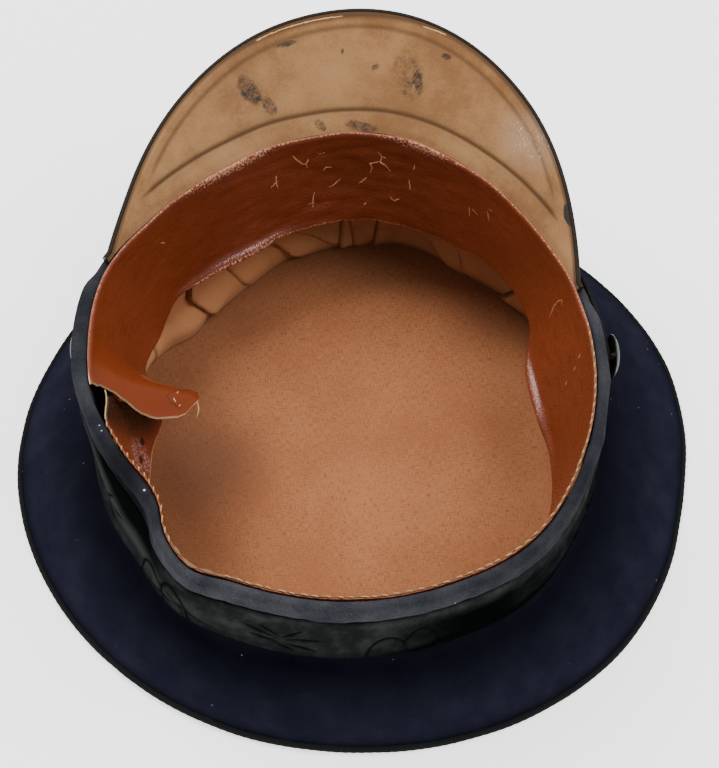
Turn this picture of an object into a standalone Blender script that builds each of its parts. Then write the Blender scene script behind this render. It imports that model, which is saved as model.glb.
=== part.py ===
"""A cloth peaked cap lying upside down on its crown, in metres with +Z up.

The origin is the middle of the crown's face on the floor, and the peak points along +Y.
Angles are in degrees about the head opening or the crown, from +X, the cap's left side as it
is worn, towards +Y, its front. A drop is a depth below the rim, and an outset is a distance
outwards from the sweatband's top edge.
"""

import math

import bmesh
import bpy
from mathutils import Matrix, Vector

# Head opening, along the sweatband's top edge
HEAD_HALF_WIDTH = 0.087
HEAD_HALF_LENGTH = 0.093
HEAD_CENTRE_X = -0.0062
HEAD_CENTRE_Y = -0.0067
RIM_HEIGHT = 0.074
RIM_TILT = 2.0
RING_SEGMENTS = 72

# Crown
CROWN_HALF_WIDTH = 0.1232
CROWN_HALF_LENGTH = 0.1222
CROWN_CLOTH = 0.0016
PIPING_RADIUS = 0.0016
PIPING_LIFT = 0.0002
SIDE_NECK = 0.002

# Band and its braid
BAND_HEIGHT = 0.034
RIM_ROLL = 0.0042
RIM_ROLL_DEPTH = 0.0085
BAND_WALL = 0.003
BRAID_THICKNESS = 0.001
BRAID_EDGE = 0.0008

# Sweatband
LEATHER = 0.0012
SWEATBAND_WIDTH = 0.038
SWEATBAND_DROP = 0.0006
SWEATBAND_CURVE = 1.25

# Linings
COTTON = 0.001
SIDE_LINING_LAP = 0.004
SIDE_LINING_SEGMENTS = 108
CROWN_LINING_MARGIN = 0.012

# Peak
PEAK_LENGTH = 0.0447
PEAK_SLOPE = 37.0
PEAK_MIDDLE = 89.5
PEAK_HALF_SPAN = 69.5
PEAK_END_SHARE = 0.97
PEAK_TAPER = 1.27
PEAK_BOARD = 0.0016
PEAK_LINING = 0.0008
PEAK_EDGE = 0.001
PEAK_SEGMENTS = 30
PEAK_ROWS = 5
SEAT_RUN_OUT = 6.0

# Chin strap and side buttons
STRAP_WIDTH = 0.011
STRAP_THICKNESS = 0.0012
STRAP_DROP = 0.0045
STRAP_SEGMENTS = 34
STRAP_TAB = 3.0
BUTTON_RADIUS = 0.00775
BUTTON_DOME = 0.0022
BUTTON_SHELL = 0.0007
SHANK_RADIUS = 0.002
BUTTON_STEPS = 20

GAP = 0.0003
SHARP_CORNER = 40.0

# Side buttons: angle, length of shank that shows, and how far the button tips over
SIDE_BUTTONS = (
    ("button_left", 7.5, 0.0006, 10.0),
    ("button_right", 175.0, 0.0002, 0.0),
)
# Angle, and how far the strap has slipped from the rim, as a share of the wall left below it
STRAP_SLIP = ((0, 0.0), (110, 0.0), (135, 0.08), (160, 0.24), (180, 0.32))
# Turns round the rim's roll, from its inner side over its top to its outer side
ROLL_TURNS = (150, 120, 90, 60, 30, 0)
# Turns from a button's crest towards its rim, over its dome and inside its shell
DOME_TURNS = (15, 30, 45, 60, 75)
HOLLOW_TURNS = (60, 30)

# Angle, and radius as a share of the plain ellipse, along the sweatband's top edge
HEAD_OUTLINE = (
    (-172, 1.008), (-150, 1.0), (-130, 1.0), (-110, 0.995), (-90, 0.986), (-66, 1.002),
    (-45, 1.034), (-22, 1.007), (4, 0.988), (20, 0.978), (40, 0.972), (60, 1.0),
    (82, 1.038), (103, 1.012), (122, 0.981), (142, 0.984), (162, 1.027),
)
# Angle, and how far the rim is pushed in (minus) or out there, as a share of the half width
RIM_DENT = (
    (-180, 0.0), (-169, -0.008), (-159, -0.048), (-149, -0.078), (-140, -0.1), (-134, -0.082),
    (-127, -0.007), (-119, 0.035), (-110, 0.004), (-100, 0.0), (0, 0.0), (90, 0.0),
)
DENT_LEFT_AT_BOTTOM = 0.3
# Angle, and how far the wall leans inwards on its way down, as a share of the drop
WALL_LEAN = ((-150, 0.03), (-120, 0.0), (0, 0.0), (110, 0.0), (142, 0.14), (160, 0.26), (180, 0.26))
# Angle, and radius as a share of the plain ellipse, round the crown
CROWN_OUTLINE = (
    (-171, 1.010), (-140, 1.006), (-110, 0.999), (-88, 0.992), (-65, 1.0), (-38, 1.008),
    (-20, 0.993), (-6, 0.983), (8, 0.999), (25, 1.014), (50, 1.002), (90, 0.998),
    (130, 0.992), (158, 0.980), (172, 0.996),
)
# Share of the way out from the band to the crown's edge, and share of the way down
SIDE_PROFILE = ((0.0, 0.0), (0.08, 0.2), (0.3, 0.46), (0.62, 0.7), (0.88, 0.9), (1.0, 1.0))
# Angle along the strip, and how far it leans in from the wall, in degrees
SWEATBAND_LEAN = (
    (-180, 27), (-170, 26), (-156, 20), (-145, 7), (-120, 5), (-90, 6), (-50, 7), (-23, 10),
    (-11, 17), (8, 27), (20, 24), (33, 10), (46, 6), (60, 10), (78, 17), (100, 19), (116, 22),
    (128, 15), (142, 7), (158, 12), (169, 12), (176, 20), (182, 41), (190, 64), (200, 68),
)
# Share of the strip's width from the top edge, and the angle where its hidden end is cut
HIDDEN_END = ((0.0, -162.0), (0.5, -167.0), (1.0, -175.0))
# The same for its loose end, whose corners are rounded
LOOSE_END = ((0.0, 190.0), (0.3, 194.0), (0.6, 201.0), (0.85, 201.5), (1.0, 196.0))
SWEATBAND_ROWS = 5
SWEATBAND_SKEW_STEPS = 5
# Angle, and where the side lining meets the floor, as a share of the way out to the crown
LINING_FOOT = (
    (-160, 0.0), (-120, 0.06), (-90, 0.1), (-50, 0.08), (0, 0.06), (30, 0.1), (50, 0.2),
    (68, 0.26), (83, 0.28), (97, 0.18), (106, 0.08), (115, -0.06), (127, -0.08), (135, -0.14),
    (144, -0.06), (154, -0.08), (172, -0.1),
)
# Angle, half width in degrees, and depth in shares of the cloth's own height, of each pleat
PLEATS = (
    (62, 4.0, 0.05), (75, 3.5, 0.06), (86, 3.0, 0.05), (93, 2.5, 0.06), (98, 2.5, 0.05),
    (109, 3.5, 0.07), (121, 3.5, 0.05), (134, 4.0, 0.08), (150, 4.0, 0.05),
)
# Share of the side lining's height from the band, and how far it bags out to the crown's edge
LINING_BAG = ((0.0, 0.0), (0.3, 0.03), (0.7, 0.1), (1.0, 0.0))
# Share of that height below which a pleat keeps its depth
PLEAT_RUN = 0.8


def ring_angles(count=RING_SEGMENTS):
    """Angles in degrees once round, without the repeated last one."""
    return [360.0 * step / count - 180.0 for step in range(count)]


def read_table(rows, at, period=None):
    """Value at a place in a table of (place, value), along a smooth curve through its rows."""
    rows = list(rows)
    if period:
        at = rows[0][0] + (at - rows[0][0]) % period
        before = [(place - period, value) for place, value in rows[-2:]]
        after = [(place + period, value) for place, value in rows[:2]]
        rows = before + rows + after
    at = min(max(at, rows[0][0]), rows[-1][0])
    index = 0
    while index < len(rows) - 2 and rows[index + 1][0] <= at:
        index += 1

    def slope(row):
        low, high = max(row - 1, 0), min(row + 1, len(rows) - 1)
        return (rows[high][1] - rows[low][1]) / (rows[high][0] - rows[low][0])

    (start, first), (end, last) = rows[index], rows[index + 1]
    span = end - start
    t = (at - start) / span
    return (
        first * (1 + 2 * t) * (1 - t) ** 2
        + last * (3 - 2 * t) * t ** 2
        + slope(index) * span * t * (1 - t) ** 2
        - slope(index + 1) * span * t ** 2 * (1 - t)
    )


def outwards(angle):
    return Vector((math.cos(math.radians(angle)), math.sin(math.radians(angle)), 0.0))


def ellipse_radius(half_width, half_length, angle):
    turn = math.radians(angle)
    return 1.0 / math.hypot(math.cos(turn) / half_width, math.sin(turn) / half_length)


def head_radius(angle, drop=0.0):
    """Radius of the band's wall; its dent fades out on the way down, and its right side leans in."""
    plain = ellipse_radius(HEAD_HALF_WIDTH, HEAD_HALF_LENGTH, angle)
    depth = min(max(drop / BAND_HEIGHT, 0.0), 1.0)
    fade = 1.0 + (DENT_LEFT_AT_BOTTOM - 1.0) * depth
    dent = read_table(RIM_DENT, angle, 360.0) * HEAD_HALF_WIDTH
    lean = read_table(WALL_LEAN, angle, 360.0) * drop
    return plain * read_table(HEAD_OUTLINE, angle, 360.0) + dent * fade - lean


def rim_height(point):
    """Height of the tilted rim plane over a point."""
    return RIM_HEIGHT + (point.y - HEAD_CENTRE_Y) * math.tan(math.radians(RIM_TILT))


def head_point(angle, outset, drop):
    """A point outset from the sweatband's top edge and dropped below the rim."""
    reach = head_radius(angle, drop) + outset
    point = Vector((HEAD_CENTRE_X, HEAD_CENTRE_Y, 0.0)) + outwards(angle) * reach
    point.z = rim_height(point) - drop
    return point


def crown_point(angle, inset, height):
    """A point inset from the crown's outer edge."""
    plain = ellipse_radius(CROWN_HALF_WIDTH, CROWN_HALF_LENGTH, angle)
    reach = plain * read_table(CROWN_OUTLINE, angle, 360.0) - inset
    point = outwards(angle) * reach
    point.z = height
    return point


def peak_seat():
    """How far the rim is lowered so that the peak lies over it, level with the leather."""
    slope = math.radians(PEAK_SLOPE)
    roll = RIM_ROLL / 2
    over_roll = -roll + (roll + GAP) / math.cos(slope) - roll * math.tan(slope)
    return peak_stack() / math.cos(slope) + over_roll


def peak_stack():
    return PEAK_BOARD + GAP + PEAK_LINING


def seat_depth(angle):
    """Depth of the lowered rim at an angle: full under the peak, run out past its corners."""
    turn = abs((angle - PEAK_MIDDLE + 180.0) % 360.0 - 180.0)
    past = (turn - PEAK_HALF_SPAN) / SEAT_RUN_OUT
    share = min(max(1.0 - past, 0.0), 1.0)
    return peak_seat() * share * share * (3.0 - 2.0 * share)


def wall_outset():
    """Outset of the band's inner face, clear of the leather."""
    return LEATHER + GAP


def strap_outset():
    """Outset of the strap's inner face, clear of the rim and of the braid."""
    braid_face = wall_outset() + BAND_WALL + GAP + BRAID_THICKNESS
    return max(wall_outset() + RIM_ROLL, braid_face) + GAP


def strap_drop(angle):
    """Depth of the strap's upper edge below the rim."""
    below = BAND_HEIGHT - STRAP_WIDTH - STRAP_DROP
    return STRAP_DROP + below * read_table(STRAP_SLIP, angle)


def material(name, colour, roughness, metallic=0.0):
    made = bpy.data.materials.new(name)
    made.use_nodes = True
    shader = made.node_tree.nodes["Principled BSDF"]
    shader.inputs["Base Color"].default_value = (*colour, 1.0)
    shader.inputs["Roughness"].default_value = roughness
    shader.inputs["Metallic"].default_value = metallic
    return made


def add_object(collection, name, data, finish):
    made = bpy.data.objects.new(name, data)
    data.materials.append(finish)
    collection.objects.link(made)
    return made


def loft(collection, name, sections, finish, ring=False, tube=False):
    """A skin through sections of points; a ring closes on itself, and so does a tube's section.

    Each four-sided patch is split from its lower near corner to its upper far one, so that
    skins that lie on each other stay parallel where the rim is bent.
    """
    shape = bmesh.new()
    rows = [[shape.verts.new(point) for point in section] for section in sections]
    across = len(rows[0])
    for index in range(len(rows) if ring else len(rows) - 1):
        near, far = rows[index], rows[(index + 1) % len(rows)]
        for step in range(across if tube else across - 1):
            following = (step + 1) % across
            if near[step].co.z < near[following].co.z:
                shape.faces.new((near[step], far[step], far[following]))
                shape.faces.new((near[step], far[following], near[following]))
            else:
                shape.faces.new((near[step], far[step], near[following]))
                shape.faces.new((far[step], far[following], near[following]))
    mesh = bpy.data.meshes.new(name)
    shape.to_mesh(mesh)
    shape.free()
    mesh.shade_smooth()
    mesh.set_sharp_from_angle(angle=math.radians(SHARP_CORNER))
    return add_object(collection, name, mesh, finish)


def thicken(target, thickness, side):
    """Gives a skin its thickness, towards its normals (side 1) or away from them (side -1)."""
    solid = target.modifiers.new("thickness", "SOLIDIFY")
    solid.thickness = thickness
    solid.offset = side
    solid.use_even_offset = True
    return target


def disc(collection, name, outline, thickness, finish):
    """A flat face inside an outline, with its thickness on top."""
    shape = bmesh.new()
    shape.faces.new([shape.verts.new(point) for point in outline])
    mesh = bpy.data.meshes.new(name)
    shape.to_mesh(mesh)
    shape.free()
    return thicken(add_object(collection, name, mesh, finish), thickness, 1)


def make_crown_top(collection):
    inset = 2 * PIPING_RADIUS + GAP
    outline = [crown_point(angle, inset, 0.0) for angle in ring_angles()]
    cloth = material("navy crown cloth", (0.012, 0.013, 0.035), 0.9)
    return disc(collection, "crown_top", outline, CROWN_CLOTH, cloth)


def make_crown_piping(collection):
    welt = bpy.data.curves.new("crown_piping", "CURVE")
    welt.dimensions = "3D"
    welt.bevel_depth = PIPING_RADIUS
    welt.bevel_resolution = 2
    spline = welt.splines.new("POLY")
    spline.use_cyclic_u = True
    angles = ring_angles()
    spline.points.add(len(angles) - 1)
    for place, angle in zip(spline.points, angles):
        point = crown_point(angle, PIPING_RADIUS, PIPING_RADIUS + PIPING_LIFT)
        place.co = (*point, 1.0)
    finish = material("black welt", (0.006, 0.006, 0.008), 0.7)
    return add_object(collection, "crown_piping", welt, finish)


def side_section(angle):
    """The flange's inner face, from the band's foot out to the piping."""
    top = head_point(angle, wall_outset(), BAND_HEIGHT + GAP)
    neck = top - Vector((0.0, 0.0, SIDE_NECK))
    edge_height = 2 * PIPING_RADIUS + PIPING_LIFT + GAP
    foot = crown_point(angle, 2 * PIPING_RADIUS, edge_height)
    section = [top]
    for out, down in SIDE_PROFILE:
        point = neck.lerp(foot, out)
        point.z = neck.z + (foot.z - neck.z) * down
        section.append(point)
    return section


def make_crown_side(collection):
    sections = [side_section(angle) for angle in ring_angles()]
    cloth = material("navy side cloth", (0.012, 0.013, 0.035), 0.9)
    ring = loft(collection, "crown_side", sections, cloth, ring=True)
    return thicken(ring, CROWN_CLOTH, -1)


def band_section(angle):
    """Closed outline of the band's wall: inner face, rolled rim, step and braid seat."""
    inner = wall_outset()
    seat = seat_depth(angle)
    roll = RIM_ROLL / 2
    points = [(inner, BAND_HEIGHT), (inner, roll + seat)]
    for turn in ROLL_TURNS:
        across = inner + roll + roll * math.cos(math.radians(turn))
        points.append((across, roll + seat - roll * math.sin(math.radians(turn))))
    points.append((inner + RIM_ROLL, RIM_ROLL_DEPTH))
    points.append((inner + BAND_WALL, RIM_ROLL_DEPTH + BRAID_EDGE))
    points.append((inner + BAND_WALL, BAND_HEIGHT))
    return [head_point(angle, outset, drop) for outset, drop in reversed(points)]


def make_band(collection):
    sections = [band_section(angle) for angle in ring_angles()]
    cloth = material("navy band cloth", (0.02, 0.025, 0.045), 0.9)
    return loft(collection, "band", sections, cloth, ring=True, tube=True)


def make_braid_band(collection):
    face = wall_outset() + BAND_WALL + GAP
    top = RIM_ROLL_DEPTH + 2 * BRAID_EDGE
    drops = (BAND_HEIGHT - BRAID_EDGE, top)
    sections = [[head_point(angle, face, drop) for drop in drops] for angle in ring_angles()]
    braid = material("black mohair braid", (0.01, 0.012, 0.011), 0.6)
    return thicken(loft(collection, "braid_band", sections, braid, ring=True),
                   BRAID_THICKNESS, 1)


def sweatband_point(angle, share):
    """A point on the leather's outer face, a share of its width from the top edge."""
    lean = math.radians(read_table(SWEATBAND_LEAN, angle))
    inwards = SWEATBAND_WIDTH * math.sin(lean) * share ** SWEATBAND_CURVE
    drop = SWEATBAND_WIDTH * math.cos(lean) * share
    return head_point(angle, LEATHER - inwards, SWEATBAND_DROP + drop)


def make_sweatband(collection):
    """The strip follows the ring's own angles, and only its two ends are cut askew."""
    step = 360.0 / RING_SEGMENTS
    first = round(HIDDEN_END[0][1] / step)
    last = round(LOOSE_END[0][1] / step)
    sections = []
    for index in range(first, last + 1):
        section = []
        for row in range(SWEATBAND_ROWS):
            share = row / (SWEATBAND_ROWS - 1)
            near_start = max(1.0 - (index - first) / SWEATBAND_SKEW_STEPS, 0.0)
            near_end = max(1.0 - (last - index) / SWEATBAND_SKEW_STEPS, 0.0)
            skew = (read_table(HIDDEN_END, share) - HIDDEN_END[0][1]) * near_start
            skew += (read_table(LOOSE_END, share) - LOOSE_END[0][1]) * near_end
            section.append(sweatband_point(index * step + skew, share))
        sections.append(section)
    leather = material("red-brown leather", (0.22, 0.05, 0.018), 0.35)
    return thicken(loft(collection, "sweatband", sections, leather), LEATHER, 1)


def make_crown_lining(collection):
    height = CROWN_CLOTH + GAP
    inset = 2 * PIPING_RADIUS + CROWN_LINING_MARGIN
    outline = [crown_point(angle, inset, height) for angle in ring_angles()]
    cotton = material("brown cotton", (0.32, 0.16, 0.09), 0.9)
    return disc(collection, "crown_lining", outline, COTTON, cotton)


def pleat_depth(angle):
    """Sum of the pleats at an angle, as a share of the side lining's height."""
    total = 0.0
    for middle, half_width, depth in PLEATS:
        total -= depth * math.exp(-(((angle - middle) / half_width) ** 2))
    return total


def side_lining_section(angle):
    """The gathered cloth's outer face, from behind the sweatband down to the crown lining."""
    outset = wall_outset() - GAP
    top = head_point(angle, outset, BAND_HEIGHT - SIDE_LINING_LAP)
    neck = head_point(angle, outset, BAND_HEIGHT + SIDE_NECK)
    floor = CROWN_CLOTH + 2 * GAP + COTTON
    edge = crown_point(angle, 2 * PIPING_RADIUS, neck.z)
    overhang = (edge - neck).length
    foot = neck.lerp(edge, read_table(LINING_FOOT, angle, 360.0))
    foot.z = floor
    height = neck.z - floor
    section = [top]
    for share, bag in LINING_BAG:
        fold = pleat_depth(angle) * height * math.sin(math.pi * min(share, PLEAT_RUN))
        section.append(neck.lerp(foot, share) + outwards(angle) * (overhang * bag + fold))
    return section


def make_side_lining(collection):
    sections = [side_lining_section(angle) for angle in ring_angles(SIDE_LINING_SEGMENTS)]
    cotton = material("tan cotton", (0.42, 0.2, 0.08), 0.9)
    return thicken(loft(collection, "side_lining", sections, cotton, ring=True), COTTON, 1)


def peak_frame(angle):
    """Root point on the leather's level, the way out along the peak, and its upward normal."""
    slope = math.radians(PEAK_SLOPE)
    out = outwards(angle)
    along = out * math.cos(slope) + Vector((0.0, 0.0, math.sin(slope)))
    normal = Vector((0.0, 0.0, math.cos(slope))) - out * math.sin(slope)
    return head_point(angle, wall_outset(), 0.0), along, normal


def peak_reach(angle):
    """Length of the peak along its slope at an angle."""
    turn = (angle - PEAK_MIDDLE) / PEAK_HALF_SPAN
    return PEAK_LENGTH * math.cos(math.pi / 2 * turn) ** PEAK_TAPER


def peak_sections(depth, edge):
    """Rows out along the peak, at a depth below its tan face and short of its edge."""
    sections = []
    for step in range(PEAK_SEGMENTS + 1):
        turn = (2 * step / PEAK_SEGMENTS - 1) * PEAK_END_SHARE
        angle = PEAK_MIDDLE + turn * PEAK_HALF_SPAN
        root, along, normal = peak_frame(angle)
        slide = depth * math.tan(math.radians(PEAK_SLOPE))
        reach = max(peak_reach(angle) - edge, PEAK_EDGE)
        rows = []
        for row in range(PEAK_ROWS):
            share = row / (PEAK_ROWS - 1)
            rows.append(root + along * (reach * share - slide * (1 - share)) - normal * depth)
        sections.append(rows)
    return sections


def make_peak(collection):
    patent = material("black patent leather", (0.004, 0.004, 0.005), 0.15)
    board = loft(collection, "peak_top", peak_sections(PEAK_LINING + GAP, 0.0), patent)
    thicken(board, PEAK_BOARD, 1)
    tan = material("tan peak underside", (0.45, 0.25, 0.12), 0.55)
    lining = loft(collection, "peak_lining", peak_sections(0.0, PEAK_EDGE), tan)
    thicken(lining, PEAK_LINING, 1)


def make_chin_strap(collection):
    first, last = (angle for _, angle, _, _ in SIDE_BUTTONS)
    first, last = first - STRAP_TAB, last + STRAP_TAB
    sections = []
    for step in range(STRAP_SEGMENTS + 1):
        angle = first + (last - first) * step / STRAP_SEGMENTS
        drops = (strap_drop(angle) + STRAP_WIDTH, strap_drop(angle))
        sections.append([head_point(angle, strap_outset(), drop) for drop in drops])
    leather = material("dark strap leather", (0.05, 0.04, 0.035), 0.5)
    return thicken(loft(collection, "chin_strap", sections, leather), STRAP_THICKNESS, 1)


def make_button(collection, name, angle, shank, tip):
    """A domed shell on a shank, turned about the button's own axis."""
    rim = shank + BUTTON_SHELL / 2
    crest = rim + BUTTON_DOME
    profile = [(0.0, crest)]
    for turn in DOME_TURNS:
        bend = math.radians(turn)
        profile.append((BUTTON_RADIUS * math.sin(bend), rim + BUTTON_DOME * math.cos(bend)))
    profile += [(BUTTON_RADIUS, rim), (BUTTON_RADIUS - BUTTON_SHELL, rim - BUTTON_SHELL / 2)]
    for turn in HOLLOW_TURNS:
        bend = math.radians(turn)
        hollow = BUTTON_DOME - BUTTON_SHELL
        reach = (BUTTON_RADIUS - BUTTON_SHELL) * math.sin(bend)
        profile.append((reach, rim + hollow * math.cos(bend)))
    profile += [(SHANK_RADIUS, rim), (SHANK_RADIUS, 0.0), (0.0, 0.0)]
    mesh = bpy.data.meshes.new(name)
    edges = [(index, index + 1) for index in range(len(profile) - 1)]
    mesh.from_pydata([(reach, 0.0, height) for reach, height in profile], edges, [])
    metal = material("dull brass " + name, (0.3, 0.28, 0.22), 0.35, 0.9)
    button = add_object(collection, name, mesh, metal)
    screw = button.modifiers.new("turned", "SCREW")
    screw.steps = BUTTON_STEPS
    screw.render_steps = BUTTON_STEPS
    screw.use_merge_vertices = True
    screw.merge_threshold = 0.00001
    seat = strap_outset() + STRAP_THICKNESS + GAP + SHANK_RADIUS * math.sin(math.radians(tip))
    place = head_point(angle, seat, strap_drop(angle) + STRAP_WIDTH / 2)
    wall = math.atan(read_table(WALL_LEAN, angle, 360.0))
    face = Matrix.Rotation(wall + math.radians(tip), 3, outwards(angle + 90.0)) @ outwards(angle)
    turn = face.to_track_quat("Z", "Y").to_matrix().to_4x4()
    button.matrix_world = Matrix.Translation(place) @ turn
    return button


def main():
    for old in list(bpy.data.objects):
        bpy.data.objects.remove(old, do_unlink=True)
    cap = bpy.data.collections.new("peaked_cap")
    bpy.context.scene.collection.children.link(cap)
    make_crown_top(cap)
    make_crown_piping(cap)
    make_crown_side(cap)
    make_band(cap)
    make_braid_band(cap)
    make_sweatband(cap)
    make_crown_lining(cap)
    make_side_lining(cap)
    make_peak(cap)
    make_chin_strap(cap)
    for name, angle, shank, tip in SIDE_BUTTONS:
        make_button(cap, name, angle, shank, tip)


main()
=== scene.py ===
"""The looks of a cloth peaked cap that lies upside down on its crown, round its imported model.

Sizes are in metres with +Z up. Angles are in degrees about the head opening or the crown, from
+X, the cap's left side as it is worn, towards +Y, its front. A drop is a depth below the rim.
"""
import math

import bmesh
import bpy
import numpy as np
from mathutils import Matrix, Vector


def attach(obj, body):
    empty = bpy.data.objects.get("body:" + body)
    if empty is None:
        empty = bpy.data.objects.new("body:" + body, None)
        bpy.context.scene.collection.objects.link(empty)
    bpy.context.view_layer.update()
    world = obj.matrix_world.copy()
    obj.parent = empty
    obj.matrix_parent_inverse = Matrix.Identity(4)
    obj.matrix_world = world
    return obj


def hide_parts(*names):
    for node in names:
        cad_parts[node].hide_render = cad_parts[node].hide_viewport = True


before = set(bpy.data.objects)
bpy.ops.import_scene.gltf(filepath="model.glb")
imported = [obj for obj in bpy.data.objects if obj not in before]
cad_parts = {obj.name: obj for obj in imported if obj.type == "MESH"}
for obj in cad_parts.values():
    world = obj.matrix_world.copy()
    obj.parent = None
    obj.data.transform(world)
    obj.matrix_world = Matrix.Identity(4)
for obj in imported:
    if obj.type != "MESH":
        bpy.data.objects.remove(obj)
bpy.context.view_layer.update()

FLAT = "flat"
TURN = 360.0

# Camera, table and light
CAMERA_TARGET = (0.0, 0.0053, 0.04)
CAMERA_ELEVATION = 56.0
CAMERA_DISTANCE = 0.9
CAMERA_ROLL = 2.7
CAMERA_LENS = 117.96
CAMERA_SENSOR = 36.0
TABLE_HALF = 3.0
SKY_STRENGTH = 0.45
LIGHT_SIZE = 0.8
LIGHT_TARGET = (0.0, 0.0, 0.04)
# Name, place and power of each soft light
LIGHTS = (("softbox_right", (0.6, -0.08, 1.0), 10.2), ("softbox_left", (-0.5, 0.4, 1.0), 14.5))

# Bends between faces that are shaded as sharp edges, on cloth and on solid bodies
CLOTH_SHARP = 55.0
BODY_SHARP = 50.0

# Head opening, along the sweatband's top edge
HEAD_HALF_WIDTH = 0.087
HEAD_HALF_LENGTH = 0.093
HEAD_CENTRE = (-0.0062, -0.0067)
RIM_HEIGHT = 0.074
RIM_TILT = 2.0

# Crown
CROWN_HALF_WIDTH = 0.1232
CROWN_HALF_LENGTH = 0.1222
CROWN_CLOTH = 0.0016
PIPING_RADIUS = 0.0016
PIPING_LIFT = 0.0002
SIDE_NECK = 0.002
SIDE_REACH = 0.045
BACK_SEAM = -97.0

# Band and its braid
BAND_HEIGHT = 0.034
RIM_ROLL = 0.0042
RIM_ROLL_DEPTH = 0.0085
BAND_WALL = 0.003
BRAID_THICKNESS = 0.001
BRAID_EDGE = 0.0008
BRAID_RIB = 0.0011

# Sweatband
LEATHER = 0.0012
SWEATBAND_WIDTH = 0.038
SWEATBAND_DROP = 0.0006
SWEATBAND_CURVE = 1.25
CRACK_WIDTH = 0.00027
SLIT_WIDTH = 0.00016

# Linings
COTTON = 0.001
SIDE_LINING_LAP = 0.004
CROWN_LINING_MARGIN = 0.012

# Peak
PEAK_LENGTH = 0.0447
PEAK_SLOPE = 37.0
PEAK_MIDDLE = 89.5
PEAK_HALF_SPAN = 69.5
PEAK_END_SHARE = 0.97
PEAK_TAPER = 1.27
PEAK_BOARD = 0.0016
PEAK_LINING = 0.0008
PEAK_EDGE = 0.001
PEAK_RIM = 0.0013
SEAT_RUN_OUT = 6.0
EDGE_LINE = 0.0068
INNER_GROOVE = 0.008

# Chin strap and side buttons
STRAP_WIDTH = 0.011
STRAP_THICKNESS = 0.0012
STRAP_DROP = 0.0045
STRAP_TAB = 3.0
BUTTON_RADIUS = 0.00775
BUTTON_DOME = 0.0022
BUTTON_SHELL = 0.0007
SHANK_RADIUS = 0.002
# Name, angle, shank length and downward tip of each button
SIDE_BUTTONS = (("button_left", 7.5, 0.0006, 6.0), ("button_right", 175.0, 0.0002, 0.0))

# Stitches and tape along the rim
STITCH_FIRST = -159.0
STITCH_PITCH = 2.2
TAPE_FIRST = -128.0
TAPE_LAST = 12.0
TAPE_PITCH = 2.4
THREAD_RADIUS = 0.00026
PULLED_THREAD = (-167.5, -159.5)
# Points along the thread that hangs beside the leather's hidden end
HANGING_THREAD = (
    (-0.0557, -0.0186, 0.0594), (-0.0551, -0.0205, 0.0588), (-0.0553, -0.0222, 0.0574),
    (-0.0562, -0.0236, 0.0558),
)

GAP = 0.0003

# Details of braid, cloth and leather
LEAF_UNITS = 7
LEAF_START = -98.5
# Start, end and half width of each stroke of a leaf spray, from the spray's middle and the
# braid's lower edge
LEAF_STROKES = (
    ((-0.014, 0.015), (-0.0035, 0.0105), 0.001), ((-0.0115, 0.0095), (-0.002, 0.0075), 0.0011),
    ((-0.008, 0.0165), (-0.0015, 0.011), 0.0008), ((0.0015, 0.0105), (0.012, 0.012), 0.0011),
    ((0.001, 0.0075), (0.0095, 0.005), 0.001), ((-0.001, 0.011), (0.005, 0.0165), 0.0008),
    ((-0.003, 0.0065), (0.003, 0.0035), 0.0009),
)
# Start and end of each crease in the braid: distance round the band and drop from the rim
BRAID_CREASES = (
    ((-0.215, 0.032), (-0.196, 0.027)), ((-0.206, 0.023), (-0.186, 0.029)),
    ((-0.256, 0.014), (-0.238, 0.025)),
)
# Middle, half width and height of the two lobes that come after each spray
LEAF_LOBES = ((0.0052, 0.0062, 0.015), (-0.0058, 0.0066, 0.0125))
HIDDEN_END_REACH = 6.0
# Angle along the sweatband, and how far its lower lip curls into the hollow, as a share of its
# width
LIP_CURL = (
    (-170, 0.0), (-40, 0.0), (-14, 0.04), (0, 0.08), (24, 0.035), (34, 0.0), (50, 0.0), (98, 0.0),
    (112, 0.06), (124, 0.1), (135, 0.07), (146, 0.02), (160, 0.0), (200, 0.0),
)
# Angle, half width, depth and sweep in degrees of each fold in the side lining
TUCKS = (
    (162, 7.0, 0.0024, 4.0), (147, 6.0, 0.001, 3.0), (134, 8.0, 0.0024, -8.0),
    (121, 6.0, 0.001, -6.0), (109.5, 6.0, 0.0022, -9.0), (103, 4.0, 0.0014, -12.0),
    (91.8, 2.0, 0.0015, 1.0), (90.2, 1.6, 0.0012, -1.0), (84, 2.8, 0.0017, 1.5),
    (76, 3.6, 0.0022, -9.0), (67, 6.0, 0.001, -5.0), (47, 8.0, 0.0022, 6.0),
    (25, 7.0, 0.0012, -3.0), (0, 6.0, 0.001, 2.0), (-30, 6.0, 0.001, -2.0), (-70, 6.0, 0.001, 1.0),
    (-112, 6.0, 0.001, 2.0), (-150, 6.0, 0.0012, -2.0),
)
# Angle, and drop from the rim of the braid's ridge where the band is pushed in
DENT_RIDGE = (
    (-170, 0.009), (-158, 0.0125), (-149, 0.0175), (-142, 0.0215), (-136, 0.0215), (-120, 0.0225),
)
# Middle and radius of each bit of lint on the rim
RIM_LINT = (
    ((-0.0697, -0.0628, 0.072), 0.0006), ((-0.0869, -0.0385, 0.0729), 0.00045),
    ((-0.086, -0.0406, 0.0728), 0.0004), ((0.0481, -0.0887, 0.0711), 0.0006),
)
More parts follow.
